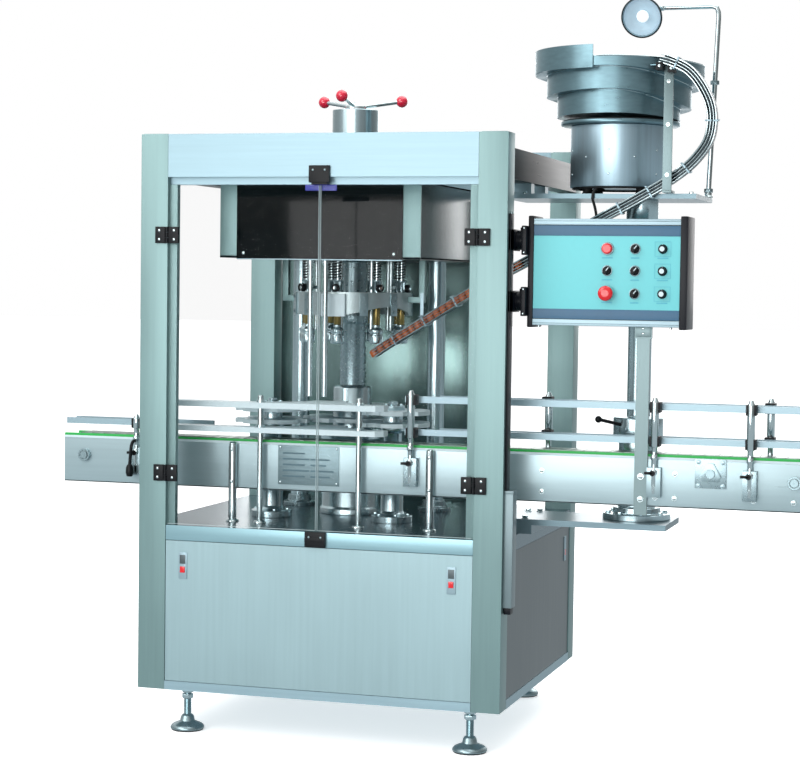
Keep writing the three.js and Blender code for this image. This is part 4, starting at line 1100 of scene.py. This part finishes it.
# ---- cap feeder ----------------------------------------------------------------------------
CABLE_ROUTE = [
    (752, 330, 1604), (744, 286, 1604), (740, 256, 1598), (738, 244, 1586), (738, 243, 1575), (740, 252, 1562),
    (743, 266, 1540), (746, 272, 1505), (748, 264, 1470), (748, 244, 1446), (748, 226, 1440), (748, 213, 1440)]
BOWL_RADII = [(185, 172), (216, 204), (249, 240)]
BOWL_LINES = {
    "base": [(0, 1814), (0.25, 1818), (0.5, 1807), (0.8, 1807), (1, 1814)],
    "low": [(0, 1872), (0.25, 1884), (0.5, 1840), (0.75, 1832), (1, 1872)],
    "high": [(0, 1934), (0.25, 1945), (0.5, 1904), (0.75, 1892), (1, 1934)],
    "rim": [(0, 1970), (0.25, 1972), (0.5, 1962), (0.75, 1956), (1, 1970)],
}


def eased(stops, t):
    for (t0, v0), (t1, v1) in zip(stops, stops[1:]):
        if t <= t1:
            share = (1 - math.cos(math.pi * (t - t0) / (t1 - t0))) / 2
            return v0 + (v1 - v0) * share
    return stops[-1][1]


def feeder_drum():
    bottom, top = 1612, sides("feeder_bowl")[4]
    x, y = FEEDER_X, FEEDER_Y
    drum = Solid().lathe([
        (0, bottom), (142, bottom), (143, bottom + 1), (143, top - 17), (140, top - 16), (0, top - 16)], at(x, y, 0), 96, 0.8)
    drum.box(-0.6, 0.6, -143.2, -141, bottom + 1, top - 17, 0.2, at(x, y, 0) @ Matrix.Rotation(math.radians(18), 4, "Z"))
    drum.piece("feeder_drum_shell", "drum", "machine", "polished_steel", ["feeder_drum"])
    screws = Solid()
    for k in range(6):
        around = at(x, y, 0) @ Matrix.Rotation(math.radians(60 * k - 62), 4, "Z")
        screws.screw(around @ facing_front(0, -142.8, bottom + 36), 3.2)
        screws.screw(around @ facing_front(0, -142.8, bottom + 104), 3.2)
        screws.screw(around @ Matrix.Rotation(math.radians(30), 4, "Z") @ facing_front(0, -142.8, bottom + 84), 3.2)
    screws.piece("feeder_drum_screws", "chrome", "machine", "polished_steel")
    pads = Solid()
    for degrees in (45, 135, 225, 315):
        px, py = spot(110, degrees, x, y)
        pads.lathe([(0, 1590.4), (17, 1590.4), (17, 1594), (14, 1597), (14, bottom - 4), (16, bottom), (0, bottom)], at(px, py, 0), 24)
    pads.lathe([(120, bottom - 5), (137, bottom - 5), (137, bottom), (120, bottom)], at(x, y, 0), 64, 1)
    pads.lathe([(120, top - 2.6), (166, top - 2.6), (166, top), (120, top)], at(x, y, 0), 64, 0.5)
    pads.piece("feeder_drum_pads", "rubber", "machine", "black_plastic")
    line = smooth_line(CABLE_ROUTE, 8)
    cable = Solid().tube(line, 4, 14)
    cable.lathe([(0, 0), (9, 0), (8, 16), (5, 20), (0, 20)], at(748, 212.5, 1440) @ Matrix.Rotation(-math.pi / 2, 4, "X"), 20)
    cable.piece("feeder_cable", "rubber", "machine", "black_plastic", ["feeder_drum"])
    flange = Solid().lathe([(100, top - 16), (171, top - 15), (173, top - 13), (173, top - 5), (171, top - 3), (100, top - 3)],
                           at(x, y, 0), 96, 0.6)
    flange.piece("feeder_drum_flange", "bowl", "machine", "polished_steel")


def bowl_profile(t):
    """The bowl's wall at t of a turn from its left side, as radius and height: outside down, then inside up."""
    share = min(1, 2 * t, 4 * (1 - t))
    r1, r2, r3 = (wide + (narrow - wide) * share for wide, narrow in BOWL_RADII)
    base, low, high, top = (eased(BOWL_LINES[name], t) for name in ("base", "low", "high", "rim"))
    bottom, skin = 1806, 3
    return [
        (r3, top), (r3, high), (r2, high), (r2, low), (r1, low), (r1, base), (60, base), (50, bottom), (50, bottom + 22),
        (r1 - skin - 12, bottom + 16), (r1 - skin, bottom + 20), (r1 - skin, low + skin), (r2 - skin, low + skin),
        (r2 - skin, high + skin), (r3 - skin, high + skin), (r3 - skin, top)]


def feeder_bowl():
    steps = 96
    bowl = Solid()
    rings = []
    for k in range(steps + 1):
        degrees = 180 + 359.6 * k / steps
        rings.append([bowl.bm.verts.new((*spot(r, degrees, FEEDER_X, FEEDER_Y), z)) for r, z in bowl_profile(k / steps)])
    for low, high in zip(rings, rings[1:]):
        for j in range(len(low)):
            bowl.bm.faces.new((low[j], low[(j + 1) % len(low)], high[(j + 1) % len(high)], high[j]))
    bowl.bm.faces.new(rings[0])
    bowl.bm.faces.new(rings[-1][::-1])
    cone = [(0, 1808), (49, 1808), (49, 1829), (38, 1840), (0, 1846)]
    bowl.lathe(cone, at(FEEDER_X, FEEDER_Y, 0), 48, 1)
    bowl.piece("feeder_bowl_wall", "bowl", "machine", "polished_steel", ["feeder_bowl"])
    beads = Solid()
    for index in range(3):
        around = [bowl_profile(k / steps) for k in range(steps + 1)]
        line = [(*spot(around[k][(4, 2, 0)[index]][0], 180 + 359 * k / steps, FEEDER_X, FEEDER_Y), around[k][(4, 2, 0)[index]][1])
                for k in range(steps + 1)]
        beads.tube(line, 2.4 if index == 2 else 1.2, 10)
    beads.piece("feeder_bowl_beads", "chrome", "machine", "polished_steel")
    hood = Solid()
    outer = [spot(250, d) for d in range(150, 264, 4)]
    inner = [spot(246.5, d) for d in range(150, 264, 4)]
    hood.prism(outer + inner[::-1], 1938, 2003, at(FEEDER_X, FEEDER_Y, 0), 0.8)
    hood.piece("feeder_bowl_hood", "bowl", "machine", "polished_steel")
    caps = Solid()
    for k in range(60):
        degrees = 137.5 * k
        radius = 150 * math.sqrt((k + 4) / 66)
        x, y = spot(radius, degrees, FEEDER_X, FEEDER_Y)
        tilt = Matrix.Rotation(0.5 * math.sin(k * 1.7), 4, "X") @ Matrix.Rotation(0.5 * math.cos(k * 2.3), 4, "Y")
        level = 1838 + 10 * (1 - radius / 150) + 9 * (k % 3)
        caps.lathe([(0, 0), (11, 0), (12, 1), (12, 15), (11, 16), (0, 16)], at(x, y, level) @ tilt, 18, 0.6)
    caps.piece("bowl_caps", "cap", "machine", "red_plastic")
    outlet = Solid()
    outlet.box(0, 70, -14, 14, -3, 0, 1, at(930, 203, 1950) @ Matrix.Rotation(math.radians(-14), 4, "Z") @ at(-60, 0, -3))
    outlet.piece("bowl_outlet", "bowl", "machine", "polished_steel")


CHUTE_ROUTE = [
    (938, 190, 1962), (969, 182, 1952), (1017, 182, 1927), (1058, 186, 1875), (1080, 194, 1816), (1073, 204, 1742),
    (1037, 214, 1688), (978, 222, 1638), (856, 229, 1566), (773, 235, 1523), (590, 268, 1421), (396, 300, 1320),
    (197, 360, 1207), (100, 392, 1152), (36, 402, 1112)]
CAP_FILLED_FROM = 0.62
CLIP_PLACES = [0.03, 0.16, 0.26, 0.34, 0.405, 0.5, 0.6, 0.69, 0.78, 0.86, 0.94]


def walk(line, spacing):
    """Frames every so far along a line: Z along it, X towards the operator, Y to the chute's open side."""
    path = [Vector(p) for p in line]
    lengths = [0.0]
    for a, b in zip(path, path[1:]):
        lengths.append(lengths[-1] + (b - a).length)
    frames = []
    distance = 0.0
    k = 0
    while distance < lengths[-1]:
        while lengths[k + 1] < distance:
            k += 1
        a, b = path[k], path[k + 1]
        tangent = (b - a).normalized()
        point = a + tangent * (distance - lengths[k])
        across = (Vector((0, -1, 0)) - tangent * tangent.dot(Vector((0, -1, 0)))).normalized()
        up = tangent.cross(across)
        turn = Matrix((across, up, tangent)).transposed().to_4x4()
        frames.append((distance / lengths[-1], Matrix.Translation(point) @ turn))
        distance += spacing
    return frames


def offset_line(line, across, up):
    moved = []
    for _, place in walk(line, 8):
        moved.append(place @ Vector((across, up, 0)))
    return moved


def cap_chute():
    line = smooth_line(CHUTE_ROUTE, 10)
    channel = Solid()
    channel.sweep(offset_line(line, -12.6, 0), [(-1, -13), (1, -13), (1, 13), (-1, 13)], (0, -1, 0))
    channel.sweep(offset_line(line, 0, -13), [(-13, -1.2), (13, -1.2), (13, 1.2), (-13, 1.2)], (0, -1, 0))
    channel.piece("chute_channel", "chute", "machine", "dark_cover", ["cap_chute"])
    rods = Solid()
    wires = [(12.6, 12, 2.1), (12.6, 4, 1.1), (12.6, -4.5, 1.1), (12.6, -12, 2.1), (-11, 13.2, 2.1), (0, 13.6, 1.2)]
    for across, up, r in wires:
        rods.tube(offset_line(line, across, up), r, 10)
    rods.piece("chute_rods", "chrome", "machine", "polished_steel")
    clips, clip_screws = Solid(), Solid()
    frames = walk(line, 4)
    for target in CLIP_PLACES:
        _, place = min(frames, key=lambda entry: abs(entry[0] - target))
        clips.box(-16.5, 16.5, -18, -15, -3, 3, 0.6, place)
        clips.box(-17.5, -14.2, -18, 18, -3, 3, 0.6, place)
        clips.box(14.8, 17.2, -18, 17, -2.4, 2.4, 0.6, place)
        clips.box(6, 24, 15, 18, -2, 2, 0.6, place)
        clip_screws.screw(place @ Matrix.Translation((17.2, -2, 0)) @ Matrix.Rotation(math.pi / 2, 4, "Y"), 2.2)
    clips.piece("chute_clips", "trim", "machine", "polished_steel")
    clip_screws.piece("chute_clip_screws", "black", "machine", "black_plastic")
    caps = Solid()
    for share, place in walk(line, 25.5):
        if share > CAP_FILLED_FROM:
            turned = place @ Matrix.Rotation(-math.pi / 2, 4, "X")
            caps.lathe([(0, -10), (10.5, -10), (11.2, -9), (11.2, 7), (9.5, 9.5), (0, 9.5)], turned, 24, 0.6)
    caps.piece("chute_caps", "cap", "machine", "red_plastic", ["cap_chute"])
    post = Solid()
    x0, x1 = 944, 970
    post.box(x0, x1, 198.5, 205.5, 1597, 1952, 1)
    post.box(x0, x1, 198.5, 262, 1590.4, 1597.5, 1)
    post.piece("chute_post", "bar", "machine", "polished_steel", ["cap_chute"])
    clamp = Solid()
    for x, z in ((934, 1940), (967, 1933)):
        clamp.box(x - 10, x + 10, 170, 206, z - 11, z + 11, 2)
    clamp.piece("chute_post_clamps", "black", "machine", "black_plastic")
    ends = Solid()
    for x, z in ((934, 1940), (967, 1933)):
        ends.screw(facing_front(x, 170, z), 4.5)
    for z in (1900, 1780, 1640):
        ends.bolt(facing_front(957, 198.5, z), 4.5, 3.5)
    ends.bolt(at(957, 240, 1597.5), 6, 5)
    ends.piece("chute_post_screws", "chrome", "machine", "polished_steel")
    hanger = Solid()
    hanger.box(386, 396, 300, 306, 1330, 1396, 1)
    hanger.box(196, 206, 362, 368, 1216, 1300, 1)
    hanger.piece("chute_hangers", "trim", "machine", "polished_steel")


# ---- work lamp -----------------------------------------------------------------------------
LAMP_FOOT = (1024, 530, 1590.4)
LAMP_TOP = (1045, 530, 2149)
LAMP_JOINT = (878, 526, 2148)
LAMP_HEAD = (828, 520, 2131)
LAMP_TILT = 0.32


def work_lamp():
    pole = Solid()
    bend = [Vector(LAMP_TOP) + Vector(step) for step in ((-1.4, 0, -34), (-2, 0, -18), (-7, 0, -5), (-20, 0, -0.2), (-36, -0.4, -0.3))]
    pole.tube([LAMP_FOOT] + bend + [LAMP_JOINT], 7.5, 20)
    pole.lathe([(0, 0), (14, 0), (14, 4), (11, 6), (11, 14), (0, 14)], at(*LAMP_FOOT), 32)
    pole.ball(LAMP_JOINT, 10)
    pole.piece("lamp_tube", "chrome", "lamp_pole", "beam_steel", ["lamp_pole"])
    nuts = Solid()
    for z in (15, 330):
        along = z / (LAMP_TOP[2] - LAMP_FOOT[2])
        x = LAMP_FOOT[0] + (LAMP_TOP[0] - LAMP_FOOT[0]) * along
        outline = [spot(13, 60 * k) for k in range(6)]
        nuts.prism(outline, LAMP_FOOT[2] + z, LAMP_FOOT[2] + z + 12, at(x, LAMP_FOOT[1], 0), 1.2)
    nuts.piece("lamp_nuts", "steel_even", "lamp_pole", "beam_steel")
    place = at(*LAMP_HEAD) @ Matrix.Rotation(math.pi / 2 + LAMP_TILT, 4, "X")
    shade = Solid().lathe([
        (0, 0), (15, 0), (17, 2), (18, 8), (26, 14), (44, 26), (54, 39), (60, 52), (60, 56), (57, 57), (55, 52), (51, 41), (41, 29),
        (20, 19), (0, 18)], place, 56, 0.5)
    shade.piece("lamp_shade", "beam", "lamp_head", "beam_steel", ["lamp_head"])
    Solid().lathe([(56.5, 53), (60.5, 53), (61, 57.5), (56.5, 58)], place, 56, 0.4).piece(
        "lamp_rim", "chute", "lamp_head", "beam_steel")
    Solid().lathe([(0, 18.4), (20, 19.4), (40, 29.6), (50, 41.2), (54.3, 52), (53.3, 52.3), (49, 42), (39.4, 30.8), (19, 20.6), (0, 19.6)],
                  place, 56, 0).piece("lamp_reflector", "reflector", "lamp_head", "beam_steel")
    Solid().lathe([(0, 19.6), (10, 20), (10, 28), (16, 34), (18, 41), (15, 47), (8, 51), (0, 52)], place, 40, 0).piece(
        "lamp_bulb", "bulb", "lamp_head", "guide_plastic")
    neck = Solid().ball(tuple(Vector(LAMP_JOINT) + Vector((-14, 0, -1))), 8)
    neck.box(LAMP_HEAD[0] + 10, LAMP_JOINT[0] - 8, LAMP_HEAD[1] + 2, LAMP_HEAD[1] + 10, LAMP_HEAD[2] + 6, LAMP_HEAD[2] + 18, 2)
    neck.piece("lamp_neck", "chrome", "lamp_head", "beam_steel")


# ---- control box ---------------------------------------------------------------------------
KEY_COLUMNS = [812, 890, 967]
KEY_ROWS = [1431, 1370, 1307]
SELECTORS = [(1, 0), (0, 1), (1, 1), (1, 2)]


ARM_HEIGHTS = [1452, 1281]


def control_mast():
    x0 = HALF_WIDTH + 0.4
    duct = Solid().box(x0, 576, 14, 58, 424, 752, 1.5)
    duct.piece("mast_duct", "duct", "machine", "panel_steel", ["control_mast"])
    lid = Solid().box(x0 + 0.4, 577, 12.5, 60, 744, 753, 1)
    lid.piece("mast_duct_lid", "duct", "machine", "panel_steel")
    mast = Solid().box(x0 + 1.6, 572, 18, 54, 405, 426, 3)
    mast.box(x0, 557, 14, 50, 750, 1525, 1.5)
    for z in ARM_HEIGHTS:
        mast.box(x0, 557, 14, 128, z - 30, z + 30, 1.5)
        mast.lathe([(0, 0), (27, 0), (27, 18), (0, 18)], facing_side(556, 100, z), 44, 0.6)
        mast.lathe([(0, 14), (30, 14), (30, 18), (0, 18)], facing_side(556, 100, z), 44, 0.6)
        mast.box(573, 586.8, 72, 130, z - 41, z + 41, 3)
        mast.box(568, 575, 80, 122, z - 22, z + 36, 2)
    mast.piece("mast_and_arms", "navy", "machine", "black_plastic", ["control_mast"])
    bolts = Solid()
    bolts.bolt(at(553.5, 32, 1525), 4.5, 5)
    for z in ARM_HEIGHTS:
        for dz in (-34, 34):
            bolts.screw(facing_front(580, 72, z + dz), 3)
    bolts.piece("mast_bolts", "chrome", "machine", "polished_steel")


BOX_LEFT, BOX_RIGHT, BOX_FRONT, BOX_BACK, BOX_BOTTOM, BOX_TOP = 603, 1015, 100, 212, 1216, 1513


def control_box():
    x0, x1, y0, y1, z0, z1 = sides("control_box")
    body = Solid().box(BOX_LEFT - 4, BOX_RIGHT + 4, BOX_FRONT, BOX_BACK, BOX_BOTTOM, BOX_TOP, 1)
    body.piece("control_box_body", "cyan", "machine", "box_face", ["control_box"])
    bands = Solid()
    for low, high in ((1234, 1262), (1466, 1495)):
        bands.box(BOX_LEFT, BOX_RIGHT, BOX_FRONT - 1, BOX_FRONT + 0.4, low, high, 0.4)
    bands.piece("control_box_bands", "band", "machine", "box_face")
    trims = Solid()
    for low, high in ((BOX_BOTTOM - 0.5, 1233), (1496.5, BOX_TOP + 0.5)):
        trims.box(BOX_LEFT - 1, BOX_RIGHT + 1, BOX_FRONT - 2, BOX_BACK + 1, low, high, 2)
    trims.piece("control_box_trims", "trim", "machine", "beam_steel")
    lines = Solid()
    for z in (1233.5, 1495.6):
        lines.box(BOX_LEFT, BOX_RIGHT, BOX_FRONT - 1.4, BOX_FRONT + 0.4, z - 0.9, z + 0.9, 0.2)
    for z in (1222, 1507):
        lines.box(BOX_LEFT, BOX_RIGHT, BOX_FRONT - 2.3, BOX_FRONT, z - 0.5, z + 0.5, 0.1)
    lines.piece("control_box_trim_grooves", "chute", "machine", "beam_steel")
    ends = Solid()
    ends.box(x0 - 0.5, BOX_LEFT, y0 - 1, y1 + 1, z0 - 0.5, z1 + 0.5, 5)
    ends.box(BOX_RIGHT, x1 + 0.5, y0 - 1, y1 + 1, z0 - 0.5, z1 + 0.5, 5)
    ends.piece("control_box_ends", "navy", "machine", "black_plastic")
    back = Solid().box(BOX_LEFT + 8, BOX_RIGHT - 8, BOX_BACK - 0.5, BOX_BACK + 1.5, BOX_BOTTOM + 26, BOX_TOP - 26, 1)
    back.piece("control_box_back", "rack", "machine", "beam_steel")
    hinges = Solid()
    for x in (BOX_LEFT + 14, BOX_RIGHT - 24):
        hinges.lathe([(0, 0), (3.4, 0), (3.4, 6), (0, 7)], at(x, BOX_FRONT + 14, BOX_BOTTOM - 7), 20, 0.4)
    hinges.piece("control_box_bottom_studs", "chrome", "machine", "polished_steel")
    labels = Solid()
    for index, column in enumerate(KEY_COLUMNS):
        for row in KEY_ROWS:
            half = 15 if index != 1 else 12
            labels.box(column - half, column + half, BOX_FRONT - 0.9, BOX_FRONT + 0.4, row - 27, row - 23.5, 0.3)
    labels.piece("control_box_blank_labels", "blank", "machine", "box_face")
    frames = Solid()
    for row in KEY_ROWS:
        column = KEY_COLUMNS[2]
        for dx, dz, w, h in ((0, 20, 22.4, 0.5), (0, -20, 22.4, 0.5), (-22, 0, 0.5, 20), (22, 0, 0.5, 20)):
            frames.box(column + dx - w, column + dx + w, BOX_FRONT - 0.8, BOX_FRONT + 0.4, row + dz - h, row + dz + h, 0.1)
    frames.piece("dial_frames", "blank", "machine", "box_face")
    bezels = Solid()
    for column, row, r in [(KEY_COLUMNS[0], KEY_ROWS[0], 15.8), (KEY_COLUMNS[0], KEY_ROWS[2], 12.8)]:
        ring = [(r, 0), (r + 3, 0), (r + 2.6, 2.2), (r + 1, 2.8), (r, 2.8)]
        bezels.lathe(ring, facing_front(column, BOX_FRONT, row), 40, 0.5)
    for column, row in SELECTORS:
        ring = [(12.8, 0), (15.4, 0), (15, 1.6), (12.8, 2)]
        bezels.lathe(ring, facing_front(KEY_COLUMNS[column], BOX_FRONT, KEY_ROWS[row]), 40, 0.4)
    bezels.piece("control_box_bezels", "steel_even", "machine", "polished_steel")


def controls():
    face = BOX_FRONT
    start = Solid().lathe([(0, -2), (15, -2), (15, 11), (13.5, 13.4), (10, 14), (0, 13.4)], facing_front(KEY_COLUMNS[0], face, KEY_ROWS[0]), 40, 0.8)
    start.piece("start_button_cap", "red", "start_button", "red_plastic", ["start_button"])
    stop = Solid().lathe([(0, -2), (12, -2), (12, 9), (17, 12), (21, 17), (21, 22), (18, 26), (10, 28), (0, 28)],
                         facing_front(KEY_COLUMNS[0], face, KEY_ROWS[2]), 44, 0.8)
    stop.piece("stop_button_head", "red", "stop_button", "red_plastic", ["stop_button"])
    for number, (column, row) in enumerate(SELECTORS, 1):
        body = f"selector_{number}"
        place = facing_front(KEY_COLUMNS[column], face, KEY_ROWS[row])
        knob = Solid().lathe([(0, 0.3), (12.5, 0.3), (12.5, 6), (11, 8.4), (0, 9)], place, 36, 0.5)
        grip = place @ Matrix.Rotation(math.radians(-40), 4, "Z")
        knob.prism([(-4.5, -11), (-2.5, -12), (2.5, -12), (4.5, -11), (3.4, 11), (1.5, 12), (-1.5, 12), (-3.4, 11)], 8, 19, grip, 1.2)
        knob.piece(f"{body}_knob", "black", body, "black_plastic", [body])
        Solid().box(-1.2, 1.2, 0, 11, 18.2, 19.4, 0.3, grip).piece(f"{body}_line", "white", body, "guide_plastic")
    for number, row in enumerate(KEY_ROWS, 1):
        body = f"dial_{number}"
        place = facing_front(KEY_COLUMNS[2], face, row)
        knob = Solid().lathe([(0, 0.3), (13, 0.3), (13, 4), (10.6, 6.5), (9.6, 16), (8.6, 17), (0, 17)], place, 36, 0.4)
        for k in range(18):
            bx, by = spot(10, 20 * k)
            knob.box(-0.8, 0.8, -0.7, 0.7, 6.5, 15.6, 0.2, place @ at(bx, by, 0) @ Matrix.Rotation(math.radians(20 * k + 90), 4, "Z"))
        knob.piece(f"{body}_knob", "black", body, "black_plastic", [body])
        mark = Solid().lathe([(0, 16.6), (7, 16.6), (7, 17.4), (0, 17.4)], place, 28, 0.2)
        mark.box(-0.7, 0.7, 6, 12.4, 4.2, 6.4, 0.2, place)
        mark.piece(f"{body}_mark", "white", body, "guide_plastic")

# ---- everything in order -------------------------------------------------------------------
cabinet()
panel_latches()
feet()
doors()
door_catches()
conveyor()
conveyor_details()
rail_brackets()
bottle_guides()
star_wheels()
turret()
head_housing()
cam_ring()
spindle_carrier()
spindles()
handwheel()
feeder_support()
feeder_drum()
feeder_bowl()
cap_chute()
work_lamp()
control_mast()
control_box()
controls()
studio()
camera()
